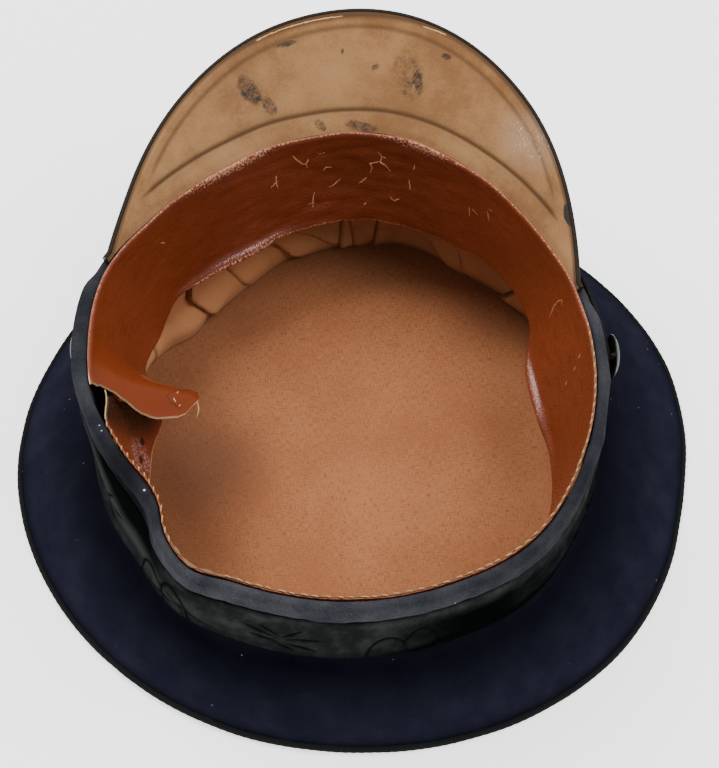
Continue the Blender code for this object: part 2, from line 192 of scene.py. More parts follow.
# Middle, radii and turn of each dark scuff on the peak, and how strongly it shows
SCUFFS = (
    ((-0.0445, 0.0968, 0.0902), (0.011, 0.0058, 0.009), -38.0, 0.66),
    ((-0.0372, 0.094, 0.0856), (0.0068, 0.0042, 0.006), -42.0, 0.61),
    ((-0.0325, 0.1132, 0.0987), (0.008, 0.0017, 0.004), 20.0, 0.66),
    ((-0.0188, 0.0916, 0.0792), (0.005, 0.0028, 0.004), -38.0, 0.6),
    ((-0.0038, 0.0924, 0.0785), (0.011, 0.003, 0.0045), -8.0, 0.6),
    ((0.0125, 0.107, 0.091), (0.0095, 0.017, 0.015), 15.0, 0.52),
    ((0.016, 0.1055, 0.09), (0.003, 0.0085, 0.008), 20.0, 0.62),
    ((0.0258, 0.1118, 0.097), (0.0034, 0.0016, 0.003), -20.0, 0.64),
    ((0.0, 0.1096, 0.0922), (0.0034, 0.0018, 0.003), 35.0, 0.62),
    ((-0.012, 0.1138, 0.0952), (0.0012, 0.0018, 0.003), 0.0, 0.62),
    ((0.0712, 0.0527, 0.0831), (0.0024, 0.0058, 0.006), 14.0, 1.3),
    ((0.0751, 0.0287, 0.0763), (0.002, 0.003, 0.003), 0.0, 0.85),
)

# Middle, radius and strength of each soft dark patch on the floor lining: painted shade near the
# front wall, on the -X side and under the loose end, along with stains
FLOOR_SHADE_AND_STAINS = (
    ((-0.056, -0.009, 0.0), 0.034, 0.62), ((-0.07, 0.03, 0.0), 0.036, 0.35),
    ((-0.05, 0.07, 0.0), 0.04, 0.35), ((0.0, 0.1, 0.0), 0.05, 0.35),
    ((0.055, 0.075, 0.0), 0.04, 0.3), ((-0.06, -0.05, 0.0), 0.032, 0.35),
)
# First and last angle of each crack along the peak's edge, and its distances from the edge there
EDGE_CRACKS = ((92.5, 107.5, 0.0026, 0.0022), (75.5, 80.0, 0.002, 0.0026))

# Angle along the sweatband, and how far its top edge is rubbed pale
RUBBED_EDGE = (
    (-180, 0.0), (0, 0.0), (12, 0.45), (20, 0.6), (35, 0.5), (50, 0.45), (62, 0.6), (72, 1.0),
    (80, 0.92), (88, 0.6), (96, 0.5), (103, 0.6), (112, 0.95), (124, 1.0), (133, 0.75), (142, 0.5),
    (155, 0.45), (170, 0.45), (182, 0.6), (188, 0.5), (200, 0.3),
)
# Angles and shares of the width along each pale crack in the leather; the last line is no crack
# but a painted highlight along the hidden end's lower edge
CRACKS = (
    ((84.6, 0.2), (83.7, 0.25), (84.0, 0.31), (82.6, 0.34), (81.4, 0.41)),
    ((84.0, 0.31), (86.3, 0.34), (85.6, 0.38), (85.9, 0.46)), ((86.6, 0.51), (88.4, 0.59)),
    ((83.6, 0.25), (82.6, 0.27)),
    ((104.0, 0.15), (103.4, 0.2), (101.8, 0.27), (100.7, 0.29), (100.6, 0.34)),
    ((101.0, 0.28), (100.3, 0.24)), ((108.3, 0.32), (108.5, 0.39), (108.2, 0.46)),
    ((110.0, 0.42), (108.1, 0.38)), ((96.9, 0.41), (96.2, 0.37), (94.9, 0.38)),
    ((98.0, 0.2), (96.6, 0.2)), ((99.2, 0.63), (99.7, 0.72), (99.6, 0.8)),
    ((100.9, 0.75), (99.4, 0.74)), ((95.7, 0.62), (94.5, 0.6), (93.0, 0.54)),
    ((76.0, 0.25), (76.1, 0.32)), ((76.8, 0.44), (76.6, 0.5), (76.1, 0.55)),
    ((80.8, 0.69), (79.8, 0.72), (78.4, 0.69)), ((87.0, 0.82), (86.4, 0.8)),
    ((61.1, 0.42), (60.6, 0.54)), ((60.2, 0.43), (58.5, 0.45)), ((55.6, 0.28), (54.6, 0.27)),
    ((56.0, 0.32), (54.9, 0.42)), ((142.3, 0.29), (141.5, 0.31), (141.0, 0.34)),
    ((24.6, 0.54), (25.6, 0.42), (25.0, 0.3), (24.3, 0.25), (23.0, 0.27)),
    ((7.6, 0.22), (7.0, 0.27)), ((5.9, 0.33), (5.2, 0.37)), ((4.4, 0.5), (3.9, 0.54)),
    ((189.3, 0.84), (190.4, 0.83)), ((194.9, 0.85), (196.0, 0.83)), ((192.2, 0.8), (194.0, 0.82)),
    # A painted highlight along the hidden end's lower edge
    ((-168.0, 0.975), (-160.0, 0.98), (-152.0, 0.98)),
)
# The same for the slit in the loose end
SLIT = (((187.6, 0.93), (189.6, 0.8), (191.6, 0.75), (194.0, 0.77), (196.4, 0.84)),)
# Middles of the dark holes in the hidden end, from which its stitches were pulled
HOLES = ((-0.075, -0.0271, 0.0456), (-0.0747, -0.0344, 0.0455))

# Tables of (angle, value) and (share, value), those of the part's source or finer ones
HEAD_OUTLINE = (
    (-172, 1.008), (-150, 1.0), (-130, 1.0), (-110, 0.995), (-90, 0.986), (-66, 1.002),
    (-45, 1.034), (-22, 1.007), (4, 0.988), (20, 0.978), (40, 0.972), (60, 1.0), (82, 1.038),
    (103, 1.012), (122, 0.981), (142, 0.984), (162, 1.027),
)
RIM_DENT = (
    (-180, 0.0), (-169, -0.008), (-159, -0.048), (-149, -0.078), (-140, -0.1), (-134, -0.082),
    (-127, -0.007), (-119, 0.035), (-110, 0.004), (-100, 0.0), (0, 0.0), (90, 0.0),
)
DENT_LEFT_AT_BOTTOM = 0.3
WALL_LEAN = (
    (-150, 0.03), (-120, 0.0), (0, 0.0), (110, 0.0), (142, 0.14), (160, 0.26), (180, 0.26),
)
CROWN_OUTLINE = (
    (-171, 1.01), (-140, 1.006), (-110, 0.999), (-88, 0.992), (-65, 1.0), (-38, 1.008),
    (-20, 0.993), (-6, 0.983), (8, 0.999), (25, 1.014), (50, 1.002), (90, 0.998), (130, 0.992),
    (158, 0.98), (172, 0.996),
)
SIDE_PROFILE_OUT = ((0.0, 0.0), (0.2, 0.08), (0.46, 0.3), (0.7, 0.62), (0.9, 0.88), (1.0, 1.0))
SWEATBAND_LEAN = (
    (-180, 27), (-170, 26), (-156, 20), (-145, 7), (-120, 5), (-90, 6), (-50, 7), (-23, 10),
    (-11, 17), (8, 27), (20, 24), (33, 10), (46, 6), (60, 10), (78, 17), (100, 19), (116, 22),
    (128, 15), (142, 7), (158, 12), (169, 12), (174.5, 20), (180, 41), (188, 64), (200, 68),
)
SWEATBAND_FIRST = -160.0
SWEATBAND_LAST = 190.0
SWEATBAND_SKEW = 25.0
HIDDEN_END = ((0.0, -162.0), (0.5, -167.0), (1.0, -175.0))
LOOSE_END = (
    (0.0, 190.0), (0.16, 190.2), (0.24, 191.0), (0.38, 194.0), (0.46, 197.2), (0.55, 199.3),
    (0.67, 200.0), (0.84, 199.0), (0.93, 196.0), (1.0, 192.5),
)
HIDDEN_END_PULL = 0.0046
LINING_FOOT = (
    (-160, 0.0), (-120, 0.06), (-90, 0.1), (-50, 0.08), (0, 0.08), (30, 0.24), (50, 0.28),
    (68, 0.26), (83, 0.28), (97, 0.18), (106, 0.08), (115, -0.06), (127, -0.08), (135, -0.14),
    (144, 0.0), (153, 0.1), (162, 0.14), (172, 0.08),
)
LINING_BAG = ((0.0, 0.0), (0.3, 0.03), (0.7, 0.1), (1.0, 0.0))
STRAP_SLIP = ((0, 0.0), (110, 0.0), (135, 0.08), (160, 0.24), (180, 0.32))

# Sizes that follow from those above
HEAD_ROUND = 2 * math.pi * HEAD_HALF_LENGTH
BRAID_WIDTH = BAND_HEIGHT - RIM_ROLL_DEPTH - 2 * BRAID_EDGE
WALL_OUTSET = LEATHER + GAP
BRAID_OUTSET = WALL_OUTSET + BAND_WALL + GAP
STRAP_OUTSET = max(WALL_OUTSET + RIM_ROLL, BRAID_OUTSET + BRAID_THICKNESS) + GAP
PEAK_STACK = PEAK_BOARD + GAP + PEAK_LINING


def read_table(rows, at, period=None):
    """Values at places in a table of (place, value), along a smooth curve through its rows."""
    at = np.asarray(at, float)
    places, values = np.array(rows, float).T
    if period:
        at = places[0] + (at - places[0]) % period
        places = np.concatenate((places[-2:] - period, places, places[:2] + period))
        values = np.concatenate((values[-2:], values, values[:2]))
    at = np.clip(at, places[0], places[-1])
    slopes = np.empty_like(values)
    slopes[1:-1] = (values[2:] - values[:-2]) / (places[2:] - places[:-2])
    slopes[0] = (values[1] - values[0]) / (places[1] - places[0])
    slopes[-1] = (values[-1] - values[-2]) / (places[-1] - places[-2])
    index = np.clip(np.searchsorted(places, at, side="right") - 1, 0, len(places) - 2)
    span = places[index + 1] - places[index]
    t = (at - places[index]) / span
    return (
        values[index] * (1 + 2 * t) * (1 - t) ** 2
        + values[index + 1] * (3 - 2 * t) * t ** 2
        + slopes[index] * span * t * (1 - t) ** 2
        - slopes[index + 1] * span * t ** 2 * (1 - t)
    )


def steps(first, last, count):
    """Evenly spaced values as a column, for a grid's first direction."""
    return np.linspace(first, last, count)[:, None]


def across(first, last, count):
    """Evenly spaced values as a row, for a grid's second direction."""
    return np.linspace(first, last, count)[None, :]


def beside(*grids):
    """Grids set side by side along their second direction."""
    return np.concatenate(grids, axis=1)


def alike(*values):
    """The values as arrays of one shape."""
    return np.broadcast_arrays(*(np.asarray(value, float) for value in values))


def ramp(value, low, high):
    """0 below low, 1 above high, and a smooth step between them."""
    t = np.clip((value - low) / (high - low), 0.0, 1.0)
    return t * t * (3 - 2 * t)


def fall(value, low, high):
    """1 below low, 0 above high, and a smooth step between them."""
    return ramp(-value, -high, -low)


def hump(value, middle, half_width):
    return np.exp(-(((value - middle) / half_width) ** 2))


def hump_round(angle, middle, half_width):
    """A hump on a ring that starts at -180 degrees, where the hump reaches past the start."""
    return hump(angle, middle, half_width) + hump(angle, middle + TURN, half_width)


def uneven(angle, reach, size, seed, waves=22):
    """Smooth seeded unevenness of about -1 to 1, whose bumps are some size across.

    It closes on itself once round the head, and reach is the distance along the other way.
    """
    random = np.random.default_rng(seed)
    total = 0.0
    for _ in range(waves):
        heading = random.uniform(0, math.pi)
        number = random.uniform(0.5, 1.1) / size
        turns = round(math.cos(heading) * number * HEAD_ROUND)
        phase = random.uniform(0, 2 * math.pi)
        wave = 2 * math.pi * number * math.sin(heading)
        total = total + np.sin(np.radians(angle) * turns + reach * wave + phase)
    return total / math.sqrt(waves)


def distance(angle):
    """How far round the head an angle lies."""
    return np.radians(angle) * HEAD_HALF_LENGTH


def outwards(angle):
    turn = np.radians(angle)
    return np.stack((np.cos(turn), np.sin(turn), np.zeros_like(turn)), axis=-1)


def up(height):
    height = np.asarray(height, float)
    return np.stack((0 * height, 0 * height, height), axis=-1)


def ellipse_radius(half_width, half_length, angle):
    turn = np.radians(angle)
    return 1.0 / np.hypot(np.cos(turn) / half_width, np.sin(turn) / half_length)


def head_radius(angle, drop):
    plain = ellipse_radius(HEAD_HALF_WIDTH, HEAD_HALF_LENGTH, angle)
    fade = 1.0 + (DENT_LEFT_AT_BOTTOM - 1.0) * np.clip(drop / BAND_HEIGHT, 0.0, 1.0)
    dent = read_table(RIM_DENT, angle, TURN) * HEAD_HALF_WIDTH
    lean = read_table(WALL_LEAN, angle, TURN) * drop
    return plain * read_table(HEAD_OUTLINE, angle, TURN) + dent * fade - lean


def head_point(angle, outset, drop):
    """Points outset from the sweatband's top edge and dropped below the rim."""
    angle, outset, drop = alike(angle, outset, drop)
    points = outwards(angle) * (head_radius(angle, drop) + outset)[..., None]
    points[..., 0] += HEAD_CENTRE[0]
    points[..., 1] += HEAD_CENTRE[1]
    rise = (points[..., 1] - HEAD_CENTRE[1]) * math.tan(math.radians(RIM_TILT))
    points[..., 2] = RIM_HEIGHT + rise - drop
    return points


def crown_point(angle, inset, height):
    """Points inset from the crown's outline, at some height over the table."""
    angle, inset, height = alike(angle, inset, height)
    plain = ellipse_radius(CROWN_HALF_WIDTH, CROWN_HALF_LENGTH, angle)
    points = outwards(angle) * (plain * read_table(CROWN_OUTLINE, angle, TURN) - inset)[..., None]
    points[..., 2] = height
    return points


def rim_stands_in(angle):
    """How much wider the rolled rim is at its left side than elsewhere."""
    return 0.0015 * (hump(angle, 180.0, 24.0) + hump(angle, -180.0, 20.0))


def strap_drop(angle):
    below = BAND_HEIGHT - STRAP_WIDTH - STRAP_DROP
    return STRAP_DROP + below * read_table(STRAP_SLIP, angle)


def seat_depth(angle):
    """Depth of the lowered rim at an angle: full under the peak, run out past its corners."""
    slope = math.radians(PEAK_SLOPE)
    roll = RIM_ROLL / 2
    over_roll = -roll + (roll + GAP) / math.cos(slope) - roll * math.tan(slope)
    turn = np.abs((angle - PEAK_MIDDLE + 180.0) % TURN - 180.0)
    seated = fall(turn, PEAK_HALF_SPAN, PEAK_HALF_SPAN + SEAT_RUN_OUT)
    return (PEAK_STACK / math.cos(slope) + over_roll) * seated


def grid_mesh(points, flat, ring=False, tube=False, flip=False):
    """A skin through a grid of points, with each point's place on the flat cloth in metres."""
    long, wide = points.shape[:2]
    rows = np.arange(long if ring else long - 1)[:, None]
    columns = np.arange(wide if tube else wide - 1)[None, :]
    corners = [(0, 0), (1, 0), (1, 1), (0, 1)]
    if flip:
        corners.reverse()
    faces = np.stack([
        (rows + along) % long * wide + (columns + over) % wide for along, over in corners
    ], axis=-1).reshape(-1, 4)
    places = np.stack([
        flat[(rows + along) + 0 * columns, (columns + over) + 0 * rows] for along, over in corners
    ], axis=-2).reshape(-1, 2)
    mesh = bpy.data.meshes.new("grid")
    mesh.from_pydata(points.reshape(-1, 3).tolist(), [], faces.tolist())
    mesh.uv_layers.new(name=FLAT).uv.foreach_set("vector", places.astype(np.float32).ravel())
    mesh.shade_smooth()
    return mesh


def flat_grid(along, over):
    """Places on flat cloth for a grid, from distances along it and across it."""
    return np.stack(alike(along, over), axis=-1)


def closed_ring(count):
    """Angles once round, without the repeated last one, as a column."""
    return steps(-180.0, 180.0, count + 1)[:-1]


def round_tube(sides):
    """Turns once round a tube, without the repeated last one, as a row."""
    return np.radians(across(0.0, TURN, sides + 1)[:, :-1])


def ring_flat(angle, over):
    """Flat places for a closed ring's grid, with the last column past the seam."""
    return flat_grid(distance(steps(-180.0, 180.0, len(angle) + 1)), over)


def tube_flat(angle, section):
    """Flat places for a ring whose section is closed, from the section's own points."""
    legs = np.linalg.norm(np.diff(np.vstack((section, section[:1])), axis=0), axis=1)
    return ring_flat(angle, np.concatenate(([0.0], np.cumsum(legs)))[None, :])


def store(mesh, **values):
    """Keeps numbers for each point, which a material reads by their names."""
    for name, numbers in values.items():
        mesh.attributes.new(name, "FLOAT", "POINT").data.foreach_set(
            "value", np.ascontiguousarray(numbers, np.float32).ravel())


def stand(name, data, place=None):
    """An object in the scene with its mesh, light or lens."""
    made = bpy.data.objects.new(name, data)
    bpy.context.scene.collection.objects.link(made)
    if place is not None:
        made.matrix_world = place
    return made


def piece(name, mesh, finish, slot, *nodes, place=None):
    """An object of the cap: it rides on the body, and stands for the solids it replaces."""
    mesh.name = name
    made = stand(name, mesh, place)
    for material in finish if isinstance(finish, tuple) else (finish,):
        mesh.materials.append(material)
    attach(made, "root")
    if nodes:
        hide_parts(*nodes)
    return made


def thicken(made, thickness, side, edge_material=0, share=None):
    """Gives a skin its thickness; share holds how much of it each point gets."""
    solid = made.modifiers.new("thickness", "SOLIDIFY")
    solid.thickness = thickness
    solid.offset = side
    solid.use_even_offset = True
    solid.material_offset_rim = edge_material
    if share is not None:
        group = made.vertex_groups.new(name="thickness")
        for index, weight in enumerate(np.clip(share, 0.0, 1.0).ravel().tolist()):
            group.add([index], weight, "REPLACE")
        solid.vertex_group = group.name
    bpy.context.view_layer.update()
    shaped = made.evaluated_get(bpy.context.evaluated_depsgraph_get())
    made.data = bpy.data.meshes.new_from_object(shaped)
    made.modifiers.clear()
    made.vertex_groups.clear()
    made.data.set_sharp_from_angle(angle=math.radians(CLOTH_SHARP))


def keep_shape(shape, mesh):
    """Ends the work on a shape and keeps it in a mesh."""
    shape.to_mesh(mesh)
    shape.free()


def smooth_mesh(shape):
    """A new mesh with a shape that is smooth all over."""
    mesh = bpy.data.meshes.new("shape")
    keep_shape(shape, mesh)
    mesh.shade_smooth()
    return mesh


def weld(made):
    """Joins the many points at a disc's middle into one."""
    shape = bmesh.new()
    shape.from_mesh(made.data)
    bmesh.ops.remove_doubles(shape, verts=shape.verts, dist=0.00002)
    keep_shape(shape, made.data)


def close_ends(mesh, sides):
    """Closes both ends of a tube that was made as a grid."""
    shape = bmesh.new()
    shape.from_mesh(mesh)
    points = list(shape.verts)
    shape.faces.new(points[:sides])
    shape.faces.new(points[-sides:][::-1])
    bmesh.ops.recalc_face_normals(shape, faces=shape.faces)
    keep_shape(shape, mesh)
    mesh.set_sharp_from_angle(angle=math.radians(BODY_SHARP))


def join(shape, rows, ring=True):
    """Faces between each row of points and the next; a row of one point closes the end."""
    for low, high in zip(rows, rows[1:]):
        count = max(len(low), len(high))
        for step in range(count if ring else count - 1):
            ahead = (step + 1) % count
            corners = (low[step % len(low)], low[ahead % len(low)],
                       high[ahead % len(high)], high[step % len(high)])
            shape.faces.new(list(dict.fromkeys(corners)))


class Tone:
    """One output of a material's nodes; sums and products of tones are nodes too."""

    def __init__(self, finish, socket):
        self.finish, self.socket = finish, socket

    def calc(self, operation, other):
        return self.finish.node("ShaderNodeMath", 0, {0: self, 1: other}, operation=operation)

    def __add__(self, other):
        return self.calc("ADD", other)

    def __sub__(self, other):
        return self.calc("SUBTRACT", other)

    def __mul__(self, other):
        return self.calc("MULTIPLY", other)


class Finish:
    """A material: most methods add shader nodes and return an output of theirs."""

    def __init__(self, name, colour, **constants):
        self.material = bpy.data.materials.new(name)
        self.material.use_nodes = True
        self.tree = self.material.node_tree
        self.shader = self.tree.nodes["Principled BSDF"]
        self.set(Base_Color=colour, **constants)

    def set(self, **sockets):
        for socket, value in sockets.items():
            self.put(self.shader.inputs[socket.replace("_", " ")], value)

    def put(self, socket, value):
        if isinstance(value, Tone):
            self.tree.links.new(value.socket, socket)
        elif isinstance(value, tuple) and socket.type == "RGBA":
            socket.default_value = (*value, 1.0)
        else:
            socket.default_value = value

    def node(self, kind, output, inputs=None, **settings):
        """Adds a node with its settings and its inputs, and returns the named output."""
        made = self.tree.nodes.new(kind)
        for setting, value in settings.items():
            setattr(made, setting, value)
        for socket, value in (inputs or {}).items():
            self.put(made.inputs[socket], value)
        return Tone(self, made.outputs[output])

    def read(self, name):
        """What store() kept under a name."""
        return self.node("ShaderNodeAttribute", "Fac", attribute_name=name)

    def place(self):
        """A place on the object, in metres."""
        return self.node("ShaderNodeTexCoord", "Object")

    def flat(self, scale=(1.0, 1.0, 1.0)):
        """A place on the flat cloth or leather, in metres before it is scaled."""
        where = self.node("ShaderNodeUVMap", "UV", uv_map=FLAT)
        return self.node("ShaderNodeMapping", "Vector", {"Vector": where, "Scale": scale})

    def turned(self, where, turn, scale):
        """A place that is turned about the upright and then scaled."""
        turned = (0.0, 0.0, math.radians(turn))
        where = self.node("ShaderNodeMapping", "Vector", {"Vector": where, "Rotation": turned})
        return self.node("ShaderNodeMapping", "Vector", {"Vector": where, "Scale": scale})

    def noise(self, scale, detail=3.0, roughness=0.55, distortion=0.0, where=None):
        return self.node("ShaderNodeTexNoise", "Fac", {
            "Vector": where or self.place(), "Scale": scale, "Detail": detail,
            "Roughness": roughness, "Distortion": distortion,
        })

    def cells(self, scale, feature="F1", where=None):
        return self.node("ShaderNodeTexVoronoi", "Distance", {
            "Vector": where or self.place(), "Scale": scale,
        }, feature=feature)

    def part(self, where, axis):
        return self.node("ShaderNodeSeparateXYZ", axis, {"Vector": where})

    def span(self, value, low, high, to_low=0.0, to_high=1.0):
        """value from low to high, as a smooth step from to_low to to_high."""
        return self.node("ShaderNodeMapRange", "Result", {
            "Value": value, "From Min": low, "From Max": high, "To Min": to_low, "To Max": to_high,
        }, interpolation_type="SMOOTHSTEP")

    def spot(self, middle, radii, turn=0.0):
        """1 at the middle of a round or long spot on the object, 0 past its edge."""
        shift = self.node("ShaderNodeVectorMath", "Vector", {0: self.place(), 1: middle},
                          operation="SUBTRACT")
        radii = radii if isinstance(radii, tuple) else (radii,) * 3
        where = self.turned(shift, -turn, tuple(1.0 / radius for radius in radii))
        return self.node("ShaderNodeTexGradient", "Fac", {"Vector": where},
                         gradient_type="SPHERICAL")

    def bump(self, height, depth, strength=1.0, over=None):
        inputs = {"Height": height, "Distance": depth, "Strength": strength}
        if over is not None:
            inputs["Normal"] = over
        return self.node("ShaderNodeBump", "Normal", inputs)

    def ground(self, share, first, second):
        """Starts the material's colour: it runs from the first to the second by a share."""
        self.colour = self.node("ShaderNodeMix", 2, {0: share, 6: first, 7: second},
                                data_type="RGBA")
        return self.colour

    def paint(self, share, colour):
        """Lays a colour over the material's colour."""
        return self.ground(share, self.colour, colour)

    def done(self, **sockets):
        self.set(Base_Color=self.colour, **sockets)
        return self.material


def shade(colour, share):
    return tuple(share * value for value in colour)


def wool_cloth(name, dark, light, lint, cloudy=0.75, bits=()):
    """Napped wool: a soft pile, cloudy wear and a few bright specks of lint."""
    made = Finish(name, dark, Roughness=0.95, Sheen_Weight=0.008, Sheen_Roughness=0.5,
                  Specular_IOR_Level=0.0)
    clouds = made.noise(90.0, 4.0, 0.6)
    pile = made.noise(2600.0, 3.0, 0.7)
    worn = clouds * cloudy + pile * (1.2 - cloudy)
    made.ground(made.span(worn, 0.42, 0.82), dark, light)
    # Painted shade as each piece stores it: on the flange near the band and above the welt, in the
    # band's dent, and the band's other darker patches
    made.paint(made.read("dirt"), shade(dark, 0.22))
    specks = made.span(made.cells(260.0), 0.11, 0.05)
    made.paint(specks * made.span(made.noise(75.0, 1.0), 0.62, 0.7), lint)
    for middle, radius in bits:
        made.paint(made.span(made.spot(middle, radius), 0.0, 0.6), (0.5, 0.52, 0.5))
    return made.done(Normal=made.bump(pile, 0.00025, 0.7, made.bump(clouds, 0.0006, 0.4)))


def cotton_cloth(name, dark, light, fleck, weave=1.0, stains=()):
    """Plain woven cotton: two sets of uneven threads, thick slubs and dark flecks."""
    made = Finish(name, dark, Roughness=0.85, Sheen_Weight=0.05, Specular_IOR_Level=0.15)
    warp = made.noise(1.0, 2.0, 0.6, where=made.flat((2900.0, 420.0, 330.0)))
    weft = made.noise(1.0, 2.0, 0.6, where=made.flat((420.0, 2900.0, 330.0)))
    slubs = made.noise(1.0, 2.0, where=made.flat((140.0, 1300.0, 300.0)))
    patches = made.noise(20.0, 3.0, 0.6)
    threads = warp * 0.5 + weft * 0.5
    tone = (threads * (0.9 * weave) + (0.5 - 0.45 * weave)) * 0.75 + patches * 0.35
    made.ground(made.span(tone, 0.4, 0.72), dark, light)
    spots = made.span(threads, 0.45, 0.37) * made.span(patches, 0.36, 0.58)
    made.paint(spots * (0.5 * weave), fleck)
    made.paint(made.span(slubs, 0.64, 0.72, 0.0, 0.4 * weave), fleck)
    # On the floor lining these patches are mostly painted shade near the front wall, on the -X
    # side and under the loose end, along with stains
    for middle, radius, strength in stains:
        made.paint(made.span(made.spot(middle, radius), 0.0, 0.8) * strength, fleck)
    # Painted shade that the side lining stores: along its folds, at its foot and under the leather
    made.paint(made.read("dirt"), shade(fleck, 0.25))
    return made.done(Normal=made.bump(threads, 0.0005, 0.6 * weave))


def plain_finish(name, colour, rough=0.4, **constants):
    """A material of one tone that a fine noise varies a little."""
    made = Finish(name, colour, **constants)
    grain = made.noise(900.0)
    made.ground(grain, shade(colour, 0.7), shade(colour, 1.35))
    return made.done(Normal=made.bump(grain, 0.0001, rough))


def make_crown_top(cloth):
    """The flat disc that the cap lies on, drawn down a little at its seam."""
    angle = closed_ring(240)
    share = across(0.0, 1.0, 26) ** 0.8
    points = crown_point(angle, 2 * PIPING_RADIUS + GAP, 0.0) * share[..., None]
    reach = share * CROWN_HALF_WIDTH
    slack = (1 + 0.5 * uneven(angle, reach, 0.05, 11)) * ramp(share, 0.05, 0.5)
    points[..., 2] = 0.00012 * np.clip(slack * fall(share, 0.7, 1.0), 0.0, 2.0)
    mesh = grid_mesh(points, ring_flat(angle, reach), ring=True)
    made = piece("crown_top_cloth", mesh, cloth, "navy_cloth", "crown_top")
    weld(made)
    thicken(made, CROWN_CLOTH, -1)


def make_crown_welt(finish):
    """The piped welt round the crown's edge: cloth drawn over a cord, with shallow twists."""
    angle, turn = closed_ring(1080), round_tube(16)
    radius = PIPING_RADIUS * (1 + 0.05 * uneven(angle, 0.004 * turn, 0.012, 21))
    radius = radius * (1 + 0.03 * np.sin(np.radians(angle) * 260 + turn))
    middle = crown_point(angle, PIPING_RADIUS, PIPING_RADIUS + PIPING_LIFT)
    lift = 0.0003 * uneven(angle, 0.0, 0.06, 22)
    middle[..., 2] += lift - lift.min()
    points = middle + outwards(angle) * (radius * np.cos(turn))[..., None]
    points = points + up(radius * np.sin(turn))
    points[..., 2] = np.maximum(points[..., 2], 0.0)
    section = PIPING_RADIUS * np.stack((np.cos(turn[0]), np.sin(turn[0])), axis=-1)
    mesh = grid_mesh(points, tube_flat(angle, section), ring=True, tube=True)
    piece("crown_welt", mesh, finish, "black_welt", "crown_piping")


def side_surface(angle, share):
    """The flange's inner face, at a share of the way down from the band's foot to the piping."""
    top = head_point(angle, WALL_OUTSET, BAND_HEIGHT + GAP)
    neck = top - up(SIDE_NECK + 0 * top[..., 2])
    foot = crown_point(angle, 2 * PIPING_RADIUS, 2 * PIPING_RADIUS + PIPING_LIFT + GAP)
    points = neck + (foot - neck) * read_table(SIDE_PROFILE_OUT, share)[..., None]
    points[..., 2] = neck[..., 2] + (foot - neck)[..., 2] * share
    return points


def make_crown_side(cloth):
    """The soft flange: eased cloth with a seam at the back and light puckers at both its seams."""
    angle, share = closed_ring(720), across(0.0, 1.0, 30)
    reach = share * SIDE_REACH
    soft = 0.0006 * uneven(angle, reach, 0.035, 31) * ramp(share, 0.05, 0.3)
    soft = soft * fall(share, 0.8, 1.0)
    pucker = 0.00018 * uneven(angle, reach, 0.006, 32) * ramp(share, 0.6, 0.95)
    gathers = 0.0003 * uneven(angle, 0.3 * reach, 0.01, 33) * fall(share, 0.05, 0.5)
    beside_seam = hump(angle, BACK_SEAM - 1.4, 0.8) + hump(angle, BACK_SEAM + 1.4, 0.8)
    seam = hump(angle, BACK_SEAM, 0.45) - 0.5 * beside_seam
    height = soft + pucker + gathers - 0.00045 * seam * fall(share, 0.93, 1.0)
    tuck = ramp(share, 0.93, 1.0)
    points = side_surface(angle, share) + up(height * ramp(share, 0.1, 0.5) - 0.0008 * tuck * tuck)
    points = points + outwards(angle) * (height * fall(share, 0.1, 0.5) + 0.0004 * tuck)[..., None]
    collar = head_point(angle, WALL_OUTSET, BAND_HEIGHT + GAP)
    rise = across(0.0, 1.0, 4)[:, :-1]
    points = beside(collar + (points[:, :1] - collar) * rise[..., None], points)
    reach = beside(SIDE_NECK * rise, SIDE_NECK + reach)
    share = beside(0 * rise, share)
    mesh = grid_mesh(points, ring_flat(angle, reach), ring=True)
    # Painted shade: darkest at the band's foot and fading out across the flange, and a painted
    # shadow line just above the welt
    store(mesh, dirt=0 * angle + 0.88 * fall(share, 0.24, 0.92) + 0.8 * ramp(share, 0.955, 0.985))
    made = piece("crown_side_cloth", mesh, cloth, "navy_cloth", "crown_side")
    thicken(made, CROWN_CLOTH, -1)


